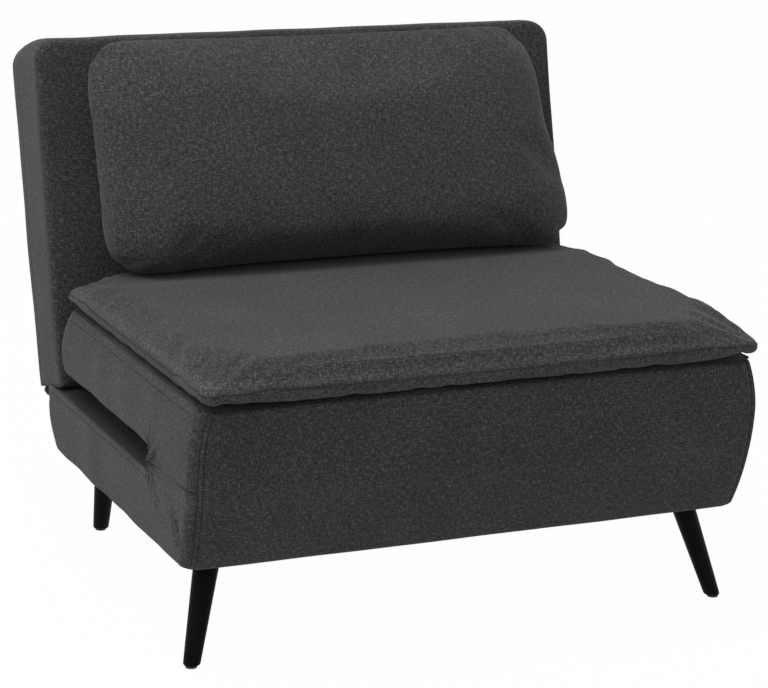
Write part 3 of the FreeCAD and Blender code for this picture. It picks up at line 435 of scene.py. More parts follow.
def lay_weave(mesh: bpy.types.Mesh) -> None:
    """Give a mesh a UV map in metres, laid on from the side that each face looks to."""
    corners = np.empty(len(mesh.loops), np.int32)
    mesh.loops.foreach_get("vertex_index", corners)
    places = np.empty(len(mesh.vertices) * 3, np.float32)
    mesh.vertices.foreach_get("co", places)
    normals = np.empty(len(mesh.polygons) * 3, np.float32)
    mesh.polygons.foreach_get("normal", normals)
    counts = np.empty(len(mesh.polygons), np.int32)
    mesh.polygons.foreach_get("loop_total", counts)
    side = np.repeat(np.abs(normals.reshape(-1, 3) * (1.0, 1.0, LEVEL_FIRST)).argmax(1), counts)
    at = places.reshape(-1, 3)[corners]
    level = at[:, [0, 1]] * (1.0, LEVEL_WEAVE)
    upright = np.where((side == 1)[:, None], at[:, [0, 2]], level)
    flat = np.where((side == 0)[:, None], at[:, [1, 2]], upright)
    layer = mesh.uv_layers.new(name="weave")
    layer.data.foreach_set("uv", flat.astype(np.float32).ravel())


def piece(bm: Net, name: str, use: Use, smooth: bool = True) -> Thing:
    """Turn a bmesh into an object with its weave and finish.

    Args:
        bm: The shape, freed here.
        name: Object name.
        use: What it is made of.
        smooth: Whether faces are shaded smooth.
    Returns:
        The new object, at the origin.
    """
    mesh = bpy.data.meshes.new(name)
    bm.to_mesh(mesh)
    bm.free()
    lay_weave(mesh)
    mesh.polygons.foreach_set("use_smooth", [smooth] * len(mesh.polygons))
    mesh.materials.append(use.value.material())
    made = bpy.data.objects.new(name, mesh)
    bpy.context.scene.collection.objects.link(made)
    log.info("%s: %d faces", name, len(mesh.polygons))
    return made


def thicken(made: Thing, thickness: float) -> None:
    """Give a cloth shell its thickness, inwards."""
    wall = made.modifiers.new("thickness", "SOLIDIFY")
    wall.thickness = thickness
    wall.offset = -1
    wall.use_even_offset = False


def mark_wear_and_shade(made: Thing, amount: Callable[[Vector], float]) -> None:
    """Store how rubbed the cloth is at each vertex, from 0 to 1; negative values are painted shade that
    darkens the cloth.
    """
    layer = made.data.attributes.new("wear_and_shade", "FLOAT", "POINT")
    layer.data.foreach_set("value", [amount(v.co) for v in made.data.vertices])


def tree_of(made: Thing) -> BVHTree:
    """Search tree over an object's faces."""
    bm = bmesh.new()
    bm.from_mesh(made.data)
    found = BVHTree.FromBMesh(bm)
    bm.free()
    return found


def resample(points: Sequence[Point], spacing: float) -> list[Vector]:
    """Spread points evenly along a polyline.

    Args:
        points: The polyline's corners.
        spacing: Distance between the new points.
    Returns:
        Points at even distances.
    """
    line = [Vector(p) for p in points]
    result = [line[0].copy()]
    rest = spacing
    for start, end in zip(line, line[1:]):
        length = (end - start).length
        done = 0.0
        while length - done >= rest:
            done += rest
            result.append(start.lerp(end, done / length))
            rest = spacing
        rest -= length - done
    return result


def on_surface(surface: BVHTree, points: Iterable[Vector], lift: float) -> list[tuple[Vector, Vector]]:
    """Drop points onto a surface.

    Args:
        surface: Search tree of the surface.
        points: Points near it.
        lift: Height above the surface.
    Returns:
        Each point's place on the surface with its normal.
    """
    result = []
    for point in points:
        place, normal, _, _ = surface.find_nearest(point)
        result.append((place + normal * lift, normal))
    return result


def stitches(name: str, surface: BVHTree, points: Sequence[Point], pitch: float = 0.0062,
             length: float = 0.0042, width: float = 0.0011) -> Thing:
    """Row of sewn stitches on a surface.

    Args:
        name: Object name.
        surface: Search tree of the cloth.
        points: The row's path.
        pitch: Distance from stitch to stitch.
        length: Length of a stitch.
        width: Thickness of the thread, drawn a little coarse so that it shows.
    Returns:
        The stitches as one object.
    """
    bm = bmesh.new()
    row = on_surface(surface, resample(points, pitch), 0.0)
    for (place, normal), (after, _) in zip(row, row[1:]):
        along = (after - place).normalized()
        across = normal.cross(along).normalized()
        turn = Matrix((across, normal, along)).transposed().to_4x4()
        turn.translation = place + along * (pitch - length) / 2
        made = bmesh.ops.create_cone(bm, cap_ends=True, segments=6, radius1=width / 2, radius2=width / 2,
                                     depth=length, matrix=turn)
        for vertex in made["verts"]:
            local = turn.inverted() @ vertex.co
            local.x *= STITCH_SPREAD
            local.y *= STITCH_PRESS
            vertex.co = turn @ local
    return piece(bm, name, Use.THREAD)


def cord_edge(name: str, use: Use, points: Sequence[Point], radius: float, rounded: int = 0) -> Thing:
    """Sewn piping or a rolled edge along a path.

    Args:
        name: Object name.
        use: What it is made of.
        points: The path.
        radius: Radius of the roll.
        rounded: Number of points over which each end is rounded off.
    Returns:
        The roll as a mesh object.
    """
    curve = bpy.data.curves.new(name, "CURVE")
    curve.dimensions = "3D"
    curve.bevel_depth = radius
    curve.bevel_resolution = 2
    curve.use_fill_caps = True
    spline = curve.splines.new("POLY")
    spline.points.add(len(points) - 1)
    for number, (target, point) in enumerate(zip(spline.points, points)):
        target.co = (*point, 1.0)
        end = min(number, len(points) - 1 - number)
        if end < rounded:
            target.radius = max(0.2, math.sqrt(1 - (1 - end / rounded) ** 2))
    holder = bpy.data.objects.new(name + "_line", curve)
    mesh = bpy.data.meshes.new_from_object(holder)
    bm = bmesh.new()
    bm.from_mesh(mesh)
    join_up(bm, 1e-5)
    bpy.data.objects.remove(holder)
    bpy.data.meshes.remove(mesh)
    return piece(bm, name, use)


def side_seams(name: str, body: str, surface: BVHTree, start: Point, back: float, row_z: float,
               radius: float, steps: int) -> None:
    """Piping along both sides of a box, with a row of stitches below it.

    Args:
        name: First word of the pieces' names.
        body: Body that they ride on.
        surface: Search tree of the box's cloth.
        start: Front end of the left side's piping.
        back: Where the piping ends at the rear.
        row_z: Height of the stitches.
        radius: Radius of the piping.
        steps: Number of the piping's lengths.
    """
    along = spaced(start[1], back, steps)
    for side, word in HANDS:
        run = [(side * start[0], y, start[2]) for y in along]
        roll = cord_edge(f"{name}_piping_{word}", Use.COVER, run, radius)
        row = stitches(f"{name}_stitches_{word}", surface, [(side * FORM.half, y, row_z) for y in along])
        for made in (roll, row):
            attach(made, body)


def swell(made: Thing, pressure: float, cap: float, held: Callable[[Vector], float],
          slack: float) -> None:
    """Blow a closed cloth shape up a little, so that it bulges and puckers as a stuffed one does.

    Args:
        made: Closed cloth object, changed in place.
        pressure: Air pressure inside.
        cap: Furthest that a point may move.
        held: Share from 0 to 1 by which a point is held, as in a seam.
        slack: Share by which the cloth is cut larger than the shape.
    """
    group = made.vertex_groups.new(name="held")
    for vertex in made.data.vertices:
        share = held(vertex.co)
        if share > 0:
            group.add([vertex.index], share, "REPLACE")
    cloth = made.modifiers.new("swell", "CLOTH")
    cloth.settings.quality = 5
    cloth.settings.mass = 0.25
    cloth.settings.tension_stiffness = 12
    cloth.settings.compression_stiffness = 12
    cloth.settings.shear_stiffness = 5
    cloth.settings.bending_stiffness = 0.25
    cloth.settings.use_pressure = True
    cloth.settings.uniform_pressure_force = pressure
    cloth.settings.vertex_group_mass = "held"
    cloth.settings.shrink_min = -slack
    cloth.settings.effector_weights.gravity = 0
    cloth.collision_settings.use_self_collision = False
    cloth.point_cache.frame_start = 1
    cloth.point_cache.frame_end = SWELL_FRAMES
    scene = bpy.context.scene
    for step in range(1, SWELL_FRAMES + 1):
        scene.frame_set(step)
    result = made.evaluated_get(bpy.context.evaluated_depsgraph_get()).to_mesh()
    moved = [v.co.copy() for v in result.vertices]
    made.modifiers.remove(cloth)
    made.vertex_groups.remove(group)
    for vertex, target in zip(made.data.vertices, moved):
        step = target - vertex.co
        if step.length > cap:
            step *= cap / step.length
        vertex.co += step
    scene.frame_set(1)


def refine(made: Thing, levels: int = 1) -> None:
    """Add a subdivision surface with equal view and render levels."""
    finer = made.modifiers.new("fine", "SUBSURF")
    finer.levels = finer.render_levels = levels



@dataclass(frozen=True)
class Form:
    """Outline that the covers share, in metres: origin on the floor, +X to the sitter's left."""

    edge_y: float = -0.4016
    base_low: float = 0.158
    deck: float = 0.268
    fold: float = 0.289
    under: float = 0.310
    top: float = 0.411
    half: float = 0.4685
    widest: float = 0.325
    low_tuck: float = 0.005
    top_tuck: float = 0.017
    bulge: float = 0.050
    fullest: float = 0.345
    slot_front: float = -0.2606
    base_back: float = 0.2884
    seat_back: float = 0.2092
    corner: float = 0.030
    rim_gap: float = 0.0001
    rim_radius: float = 0.0002
    rear_turn: float = 0.220
    rear_tuck: float = 0.034
    seat_turn: float = 0.360
    seat_low_tuck: float = 0.026
    seat_top_tuck: float = 0.010

    def half_width(self, z: float) -> float:
        """Half the body's width at a height."""
        if z < self.widest:
            return self.half - self.low_tuck * ((self.widest - z) / (self.widest - self.base_low)) ** 2
        return self.half - self.top_tuck * ((z - self.widest) / (self.top - self.widest)) ** 2

    def front(self, z: float) -> float:
        """Front of the body at a height."""
        below = max(0.0, self.fullest - z) / (self.fullest - self.base_low)
        return self.edge_y - self.bulge * (1 - below ** 2)

    def base_rear(self, z: float) -> float:
        """Back of the base at a height."""
        below = max(0.0, self.rear_turn - z) / (self.rear_turn - self.base_low)
        return self.base_back - self.rear_tuck * below ** 2

    def seat_rear(self, z: float) -> float:
        """Back of the seat section at a height."""
        turn = self.seat_turn
        if z < turn:
            return self.seat_back - self.seat_low_tuck * ((turn - z) / (turn - self.under)) ** 2
        return self.seat_back - self.seat_top_tuck * ((z - turn) / (self.top - turn)) ** 2

    def fit(self, co: Vector, rear: Callable[[float], float], rear_limit: float) -> Vector:
        """Draw a block's point in to the outline at its height."""
        x, y, z = co
        front_limit = self.edge_y - self.bulge
        share = (y - front_limit) / (rear_limit - front_limit)
        y += (1 - share) ** 3 * (self.front(z) - front_limit) + share ** 3 * (rear(z) - rear_limit)
        return Vector((x * self.half_width(z) / self.half, y, z))

    def soften(self, co: Vector, edge: float, radius: float, rear: float, inward: int) -> Vector:
        """Round off a block's point near the rim at a height.

        Args:
            co: The point.
            edge: Height of the rim.
            radius: Radius of the rounding.
            rear: Back of the block.
            inward: 1 where the block lies above the rim, -1 where it lies below.
        Returns:
            The point, moved in if it is near the rim.
        """
        above = radius - abs(edge - co.z)
        side = abs(co.x) - (self.half - self.corner)
        ends = (self.edge_y - self.bulge + self.corner - co.y, co.y - (rear - self.corner))
        end = max(ends)
        if side > 0 and end > 0:
            reach = math.hypot(side, end)
            way = (side / reach, end / reach)
        else:
            reach = max(side, end)
            way = (1.0, 0.0) if side > end else (0.0, 1.0)
        out = radius - (self.corner - reach)
        if above <= 0 or out <= 0:
            return co
        spare = 1 - max(above, out) / math.hypot(above, out)
        outward = -1 if ends[0] > ends[1] else 1
        return Vector((co.x - math.copysign(out * spare * way[0], co.x),
                       co.y - outward * out * spare * way[1], co.z + inward * above * spare))

    def behind_front(self, y: float) -> float:
        """Share from 0 before the slot's front end to 1 behind it."""
        return smooth_step(y, self.slot_front - 0.004, self.slot_front + 0.004)

    def draw_back(self, co: Vector) -> Vector:
        """Pull the cloth under the front panel in a little."""
        start = -self.slot_front + 0.05
        if -co.y > start:
            co.y += 0.003 * smooth_step(-co.y, start, start + 0.09)
        return co

    def beside(self, co: Vector) -> bool:
        """Whether a point lies on one of the sides."""
        return abs(co.x) >= self.half_width(co.z) - 0.012

    def pucker(self, co: Vector) -> Vector:
        """Gathers in the side cloth where the slot ends."""
        if not self.beside(co):
            return co
        dy = co.y - (self.slot_front - 0.004)
        dz = co.z - self.fold
        distance = math.hypot(dy, dz)
        if distance > PUCKER_REACH or distance < 1e-6:
            return co
        angle = math.atan2(dz, -dy)
        folds = math.sin(angle * 9 + 1.3 * math.sin(angle * 3)) * bump_at(distance - 0.020, 0.026)
        knots = (bump_at(math.hypot(dy + 0.012, dz - 0.013), 0.011)
                 + bump_at(math.hypot(dy + 0.011, dz + 0.015), 0.011))
        slit = bump_at(dy + 0.003, 0.0034) * bump_at(dz, 0.017)
        push = PUCKER_DEPTH * folds + KNOT_HEIGHT * knots - SLIT_DEPTH * slit
        return co + Vector((math.copysign(push, co.x), 0, 0))

    def in_slot(self, co: Vector) -> bool:
        """Whether a point lies on the deck inside the slot, where little light reaches and the cloth gets
        painted shade.
        """
        return co.z > self.deck - 0.004 and co.y > self.slot_front - 0.002 and abs(co.x) < self.half - 0.005

    def crease(self, co: Vector) -> Vector:
        """Sewn darts and creases in the side cloth under the slot's end."""
        if not self.beside(co):
            return co
        place = Vector((co.y, co.z))
        depth = 0.0
        for start, end, deep in CREASES:
            line = Vector(end) - Vector(start)
            share = min(1.0, max(0.0, (place - Vector(start)).dot(line) / line.length_squared))
            away = (place - Vector(start) - line * share).length
            depth += deep * (bump_at(away, 0.0038) - 0.45 * bump_at(away - 0.010, 0.006))
        return co - Vector((math.copysign(depth, co.x), 0, 0))


CREASES = (((-0.2646, 0.262), (-0.2926, 0.235), 0.0022), ((-0.2926, 0.235), (-0.3336, 0.206), 0.0016),
           ((-0.3736, 0.229), (-0.3866, 0.195), 0.0040), ((-0.2606, 0.298), (-0.2500, 0.330), 0.0012))
SIDE_WAVES = (0.0022, 0.075, 3.0)
PUCKER_REACH = 0.12
PUCKER_DEPTH = 0.0026
KNOT_HEIGHT = 0.0050
SLIT_DEPTH = 0.0110
FORM = Form()


@dataclass
class BaseUnit:
    """Lower box on the legs, with its cloth, seams, dust cover and legs."""

    form: Form = FORM
    leg_clearance: float = 0.026
    cell: float = 0.009
    low_radius: float = 0.007
    rear_radius: float = 0.038
    level_below: float = 0.2
    pocket: tuple[float, float] = (0.3805, 0.4005)
    pocket_front: float = 0.2354

    def build(self) -> None:
        """Make every piece of the base."""
        cover = self.cover()
        self.edges(tree_of(cover))
        self.dust_cover()
        self.legs()

    def cover(self) -> Thing:
        """Side, rear and top cloth in one shell, open underneath."""
        f = self.form
        bm = block((-f.half, f.edge_y - f.bulge, f.base_low), (f.half, f.base_back, f.fold - f.rim_gap),
                   self.cell, f.corner, fine_cuts(0.186, f.fold))
        shape(bm, self.settle)
        shape(bm, f.pucker)
        shape(bm, f.crease)
        ruffle(bm, *SIDE_WAVES)
        for side in (-1, 1):
            for x in self.pocket:
                slice_at(bm, 0, side * x)
        slice_at(bm, 1, self.pocket_front)
        gone = [face for face in bm.faces
                if self.in_pocket(face.calc_center_median()) or self.underneath(face)]
        bmesh.ops.delete(bm, geom=gone, context="FACES")
        cover = piece(bm, "base_upholstery", Use.COVER)
        # Painted shade: the deck inside the slot is darkened (-1.1); a lighter rubbed strip runs along the
        # deck's edge.
        mark_wear_and_shade(cover, lambda co: -1.1 if f.in_slot(co) else 0.5 * bump_at(co.z - f.deck, 0.006))
        thicken(cover, CLOTH_WALL)
        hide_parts("base_cover", "base_top_panel", "base_foam")
        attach(cover, "base")
        return cover

    def settle(self, co: Vector) -> Vector:
        """Shape the block: tucked bottom, lowered deck behind the front, rounded rear edge."""
        f = self.form
        lower = f.behind_front(co.y)
        co = f.soften(co, f.fold - f.rim_gap, f.rim_radius + 0.0051 * lower, f.base_back, -1)
        co = f.soften(co, f.base_low, self.low_radius, f.base_back, 1)
        share = max(0.0, (co.z - self.level_below) / (f.fold - self.level_below))
        z = co.z - lower * share * (f.fold - f.deck)
        out = f.fit(Vector((co.x, co.y, z)), f.base_rear, f.base_back)
        past_y = out.y - (f.base_rear(out.z) - self.rear_radius)
        past_z = out.z - (f.deck - self.rear_radius)
        if past_y > 0 and past_z > 0:
            scale = max(past_y, past_z) / math.hypot(past_y, past_z)
            out.y += past_y * (scale - 1)
            out.z += past_z * (scale - 1)
        return f.draw_back(out)

    def in_pocket(self, centre: Vector) -> bool:
        """Whether a point lies in the slits that the hinge arms swing through."""
        return (self.pocket[0] < abs(centre.x) < self.pocket[1] and centre.y > self.pocket_front
                and centre.z > 0.177)

    def underneath(self, face: bmesh.types.BMFace) -> bool:
        """Whether a face belongs to the open bottom, inside the turned-under strip."""
        centre = face.calc_center_median()
        return (face.normal.z < -0.9 and centre.z < self.form.base_low + 0.002 and abs(centre.x) < 0.40
                and -0.375 < centre.y < 0.225)

    def edges(self, surface: BVHTree) -> None:
        """Piping and topstitching along the deck's edge."""
        f = self.form
        start = (f.half_width(f.deck) - 0.002, f.slot_front + 0.012, f.deck - 0.002)
        side_seams("deck", "base", surface, start, back=f.base_back - 0.040, row_z=f.deck - 0.011,
                   radius=0.0021, steps=40)

    def dust_cover(self) -> None:
        """Sagging sheet that closes the bottom."""
        low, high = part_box("base_dust_cover")
        size = high - low
        middle = Vector(((low.x + high.x) / 2, (low.y + high.y) / 2, low.z))
        bm = level_grid(size.x - 0.01, size.y - 0.01, middle + Vector((0, 0, 0.0006)), (60, 44))

        def sag(co: Vector) -> Vector:
            across = max(0.0, 1 - ((co.x - middle.x) / (size.x / 2)) ** 2)
            along = max(0.0, 1 - ((co.y - middle.y) / (size.y / 2)) ** 2)
            wave = 0.0006 * noise.noise(co * 14)
            return co - Vector((0, 0, 0.004 * across * along + wave * across))

        shape(bm, sag)
        for leg in LEGS:
            near = [face for face in bm.faces
                    if (face.calc_center_median() - Vector((*leg.top, low.z))).length < self.leg_clearance]
            bmesh.ops.delete(bm, geom=near, context="FACES")
        bmesh.ops.reverse_faces(bm, faces=bm.faces)
        sheet = piece(bm, "dust_cover_sheet", Use.DUST)
        thicken(sheet, SHEET_WALL)
        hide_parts("base_dust_cover")
        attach(sheet, "base")

    def legs(self) -> None:
        """Four tapered legs."""
        for leg in LEGS:
            leg.build()


@dataclass(frozen=True)
class Leg:
    """Tapered round leg that splays outwards or backwards."""

    node: str
    foot: tuple[float, float]
    top: tuple[float, float]
    tip_radius: float = 0.013
    top_radius: float = 0.0205
    tip_rounding: float = 0.0035
    low: float = 0.003
    high: float = 0.1595

    def build(self) -> Thing:
        """Turn the leg, round its tip and lean it."""
        low, high = self.low, self.high
        bm = bmesh.new()
        bmesh.ops.create_cone(bm, cap_ends=True, segments=48, radius1=self.tip_radius,
                              radius2=self.top_radius, depth=high - low)
        rim = [e for e in bm.edges if all(v.co.z < 0 for v in e.verts)]
        round_edges(bm, rim, self.tip_rounding, 4)
        sides = [e for e in bm.edges if abs(e.verts[0].co.z - e.verts[1].co.z) > 0.1]
        bmesh.ops.subdivide_edges(bm, edges=sides, cuts=8, use_grid_fill=True)
        bmesh.ops.translate(bm, vec=(0, 0, (high + low) / 2), verts=bm.verts)

        def lean(co: Vector) -> Vector:
            share = co.z / high
            x = self.foot[0] + (self.top[0] - self.foot[0]) * share
            y = self.foot[1] + (self.top[1] - self.foot[1]) * share
            return Vector((co.x + x, co.y + y, co.z))

        shape(bm, lean)
        made = piece(bm, self.node + "_turned", Use.LEG)
        made.data.set_sharp_from_angle(angle=math.radians(50))
        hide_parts(self.node)
        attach(made, "base")
        return made


LEGS = tuple(
    Leg(f"{end}_{hand}_leg", (side * foot[0], foot[1]), (side * top[0], top[1]))
    for end, foot, top in (("front", (0.443, -0.3766), (0.400, -0.3286)),
                           ("rear", (0.377, 0.2694), (0.377, 0.2284)))
    for hand, side in (("left", -1), ("right", 1)))


@dataclass
class SeatUnit:
    """Upper box that turns over, with its cloth, lining and seams."""

    form: Form = FORM
    cell: float = 0.009
    mouth_x: float = 0.412
    mouth_y: tuple[float, float] = (-0.3696, 0.163)
    lining_size: tuple[float, float] = (0.872, 0.585)
    lining_centre: Point = (0, -0.0745, 0.3582)

    def build(self) -> None:
        """Make every piece of the seat section."""
        cover = self.cover()
        self.edges(tree_of(cover))
        self.lining()

    def cover(self) -> Thing:
        """Cloth shell, open at the top where the pad lies."""
        f = self.form
        bm = block((-f.half, f.edge_y - f.bulge, f.fold + f.rim_gap), (f.half, f.seat_back, f.top),
                   self.cell, f.corner, fine_cuts(f.fold, 0.340))
        shape(bm, self.settle)
        shape(bm, f.pucker)
        ruffle(bm, *SIDE_WAVES)
        for side in (-1, 1):
            slice_at(bm, 0, side * self.mouth_x)
        for y in self.mouth_y:
            slice_at(bm, 1, y)
        gone = [face for face in bm.faces
                if face.normal.z > 0.9 and self.in_mouth(face.calc_center_median())]
        bmesh.ops.delete(bm, geom=gone, context="FACES")
        cover = piece(bm, "seat_upholstery", Use.COVER)
        mark_wear_and_shade(cover, lambda co: 0.6 * bump_at(co.z - f.top, 0.007) * (co.z < f.top + 0.01))
        thicken(cover, CLOTH_WALL)
        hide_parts("seat_cover", "seat_under_panel")
        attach(cover, "seat_section")
        return cover

    def settle(self, co: Vector) -> Vector:
        """Shape the block: raised underside behind the front, curved rear."""
        f = self.form
        lift = f.behind_front(co.y)
        co = f.soften(co, f.fold + f.rim_gap, f.rim_radius + 0.0066 * lift, f.seat_back, 1)
        co = f.soften(co, f.top, 0.006, f.seat_back, -1)
        share = max(0.0, (f.seat_turn - co.z) / (f.seat_turn - f.fold))
        z = co.z + lift * share * (f.under - f.fold)
        return f.draw_back(f.fit(Vector((co.x, co.y, z)), f.seat_rear, f.seat_back))

    def in_mouth(self, centre: Vector) -> bool:
        """Whether a point lies over the open top."""
        return (abs(centre.x) < self.mouth_x and self.mouth_y[0] < centre.y < self.mouth_y[1]
                and centre.z > self.form.top - 0.006)

    def edges(self, surface: BVHTree) -> None:
        """Piping and topstitching along the top edge of both sides."""
        f = self.form
        start = (f.half_width(f.top) - 0.0015, f.front(f.top) + 0.022, f.top - 0.0015)
        side_seams("seat", "seat_section", surface, start, back=f.seat_rear(f.top) - 0.024,
                   row_z=f.top - 0.010, radius=0.0022, steps=50)

    def lining(self) -> None:
        """Black lining between the slats and the foam."""
        wide, deep = self.lining_size
        bm = level_grid(wide, deep, self.lining_centre, (50, 30))
        shape(bm, lambda co: co + Vector((0, 0, 0.0006 * noise.noise(co * 20) - 0.0005)))
        sheet = piece(bm, "seat_lining_sheet", Use.DUST)
        thicken(sheet, SHEET_WALL)
        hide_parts("seat_foam")
        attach(sheet, "seat_section")


@dataclass
class FrontPanel:
    """One sheet over the front of both boxes, with finer cuts and a ridge where the seat turns over."""

    form: Form = FORM
    lift: float = 0.0015
    ridge: float = 0.0045
    wrap: float = 0.75
    rows: tuple[float, float] = (0.9925, 0.9760)
    wall: float = 0.0018
    low_rim: float = 0.007
    top_rim: float = 0.006

    def build(self) -> None:
        """Make the sheet with its corner seams."""
        f = self.form
        bm = bmesh.new()
        bmesh.ops.create_grid(bm, x_segments=124, y_segments=66, size=1.0)
        for side in (-1, 1):
            for row in self.rows:
                for step in SEAM_CUTS:
                    slice_at(bm, 0, side * (row + step))
        for step in range(-10, 11):
            slice_at(bm, 1, 2 * (f.fold - f.base_low + step / MILLIMETRES) / (f.top - f.base_low) - 1)
        shape(bm, self.place)
        ruffle(bm, 0.0010, 0.11, 11.0)
        bmesh.ops.recalc_face_normals(bm, faces=bm.faces)
        if next(iter(bm.faces)).normal.y > 0:
            bmesh.ops.reverse_faces(bm, faces=bm.faces)
        panel = piece(bm, "front_panel", Use.COVER)
        surface = tree_of(panel)
        thicken(panel, self.wall)
        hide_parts("front_cover_lower", "front_cover_upper")
        made = [panel]
        for side, word in HANDS:
            for number, share in enumerate(self.rows):
                run = [self.place(Vector((side * share, up, 0)))[:] for up in spaced(-0.93, 0.87, 50)]
                made.append(stitches(f"corner_stitches_{word}_{number + 1}", surface, run))
        for each in made:
            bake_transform(each)

    def place(self, co: Vector) -> Vector:
        """Lay a flat grid point, from -1 to 1 each way, round the front."""
        f = self.form
        z = f.base_low + 0.0005 + (f.top - f.base_low - 0.001) * (co.y + 1) / 2
        straight = f.half_width(z) - f.corner
        reach = straight + f.corner * self.wrap
        along = abs(co.x) * reach
        fade = 1 - smooth_step(along, straight - 0.05, straight)
        out = self.lift + self.ridge * fade * bump_at(z - f.fold, 0.024)
        out -= 0.0030 * sum(bump_at(abs(co.x) - row, 0.0036) for row in self.rows)
        front = f.front(z)
        if along <= straight:
            x, y = along, front - out
        else:
            angle = (along - straight) / f.corner
            x = straight + (f.corner + self.lift) * math.sin(angle)
            y = front + f.corner - (f.corner + out) * math.cos(angle)
        below = max(0.0, (f.base_low + self.low_rim - z) / self.low_rim)
        y += self.low_rim * (1 - math.sqrt(max(0.0, 1 - below * below)))
        above = max(0.0, (z - f.top + self.top_rim) / self.top_rim)
        y += 0.005 * (1 - math.sqrt(max(0.0, 1 - above * above)))
        return Vector((math.copysign(x, co.x), y, z))


@dataclass
class Backrest:
    """Leaning backrest: foam box under one cloth, with a hem along the bottom rear."""

    half: float = 0.466
    height: float = 0.580
    low_thickness: float = 0.122
    top_thickness: float = 0.143
    face_y: float = 0.19739
    foot_z: float = 0.270
    lean: float = math.radians(13)
    cell: float = 0.009
    corner: float = 0.034
    rim: float = 0.010
    hem_radius: float = 0.0125

    def build(self) -> None:
        """Make the cover, its seams and the hem."""
        cover = self.cover()
        self.seams(tree_of(cover))
        self.hem()

    def tilt(self, co: Vector) -> Vector:
        """Lean a point of the upright drawing back."""
        y, z = co.y, co.z
        sine, cosine = math.sin(self.lean), math.cos(self.lean)
        return Vector((co.x, self.face_y + y * cosine + z * sine, self.foot_z - y * sine + z * cosine))

    def cover(self) -> Thing:
        """Padded cover with rounded top corners."""
        bm = cuboid((2 * self.half, self.top_thickness, self.height),
                    (0, self.top_thickness / 2, self.height / 2))
        corners = [e for e in bm.edges if all(v.co.z > self.height / 2 for v in e.verts)
                   and abs(e.verts[0].co.y - e.verts[1].co.y) > 0.1]
        round_edges(bm, corners, self.corner, 8)
        rims = [e for e in bm.edges if abs(e.verts[0].co.y - e.verts[1].co.y) < 1e-6]
        round_edges(bm, rims, self.rim, 5)
        reaches = ((-self.half, self.half), (0, self.top_thickness), (0, self.height))
        for axis, (low, high) in enumerate(reaches):
            for place in spaced(low, high, round((high - low) / self.cell))[1:-1]:
                slice_at(bm, axis, place)
        join_up(bm)

        def settle(co: Vector) -> Vector:
            share = co.z / self.height
            thick = self.low_thickness + (self.top_thickness - self.low_thickness) * min(1.0, share * 1.06)
            y = co.y * thick / self.top_thickness
            across = max(0.0, 1 - (co.x / self.half) ** 4)
            along = max(0.0, 1 - (2 * share - 1) ** 4)
            y -= 0.005 * across * along * (1 - co.y / self.top_thickness)
            y += 0.003 * across * along * co.y / self.top_thickness
            z = co.z
            if share > 0.6:
                crown = 1 - (2 * co.y / self.top_thickness - 1) ** 2
                z -= (1 - crown) * 0.008 * smooth_step(share, 0.6, 1.0)
            y += 0.005 * co.y / self.top_thickness
            wide = 1 + 0.0020 / self.half * (1 - (2 * share - 1) ** 6)
            return Vector((co.x * wide, y, z + 0.002 * share + 0.006 * (1 - min(1.0, share * 8))))

        shape(bm, settle)
        ruffle(bm, 0.0018, 0.10, 19.0)
        shape(bm, self.tilt)
        cover = piece(bm, "backrest_upholstery", Use.COVER)
        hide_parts("back_cover", "back_front_foam", "back_rear_foam")
        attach(cover, "backrest")
        return cover

    def seams(self, surface: BVHTree) -> None:
        """Stitch rows where the front and rear cloth meet the side strip."""
        for number, depth in enumerate((0.014, self.low_thickness - 0.012)):
            for side, word in HANDS:
                run = [self.tilt(Vector((side * self.half, depth, up)))[:] for up in spaced(0.03, 0.52, 40)]
                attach(stitches(f"back_stitches_{word}_{number + 1}", surface, run), "backrest")

    def hem(self) -> None:
        """Stuffed hem roll along the bottom rear edge."""
        low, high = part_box("back_hem")
        centre = self.tilt(Vector((0, self.low_thickness + 0.0070, -0.002)))
        reach = high.x + 0.004
        run = [(x, centre.y + 0.0010 * noise.noise(Vector((i * 0.09, 0, 3))),
                centre.z + 0.0010 * noise.noise(Vector((i * 0.07, 5, 0))))
               for i, x in enumerate(spaced(-reach, reach, 240))]
        roll = cord_edge("back_hem_roll", Use.COVER, run, self.hem_radius, rounded=4)
        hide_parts("back_hem")
        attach(roll, "backrest")


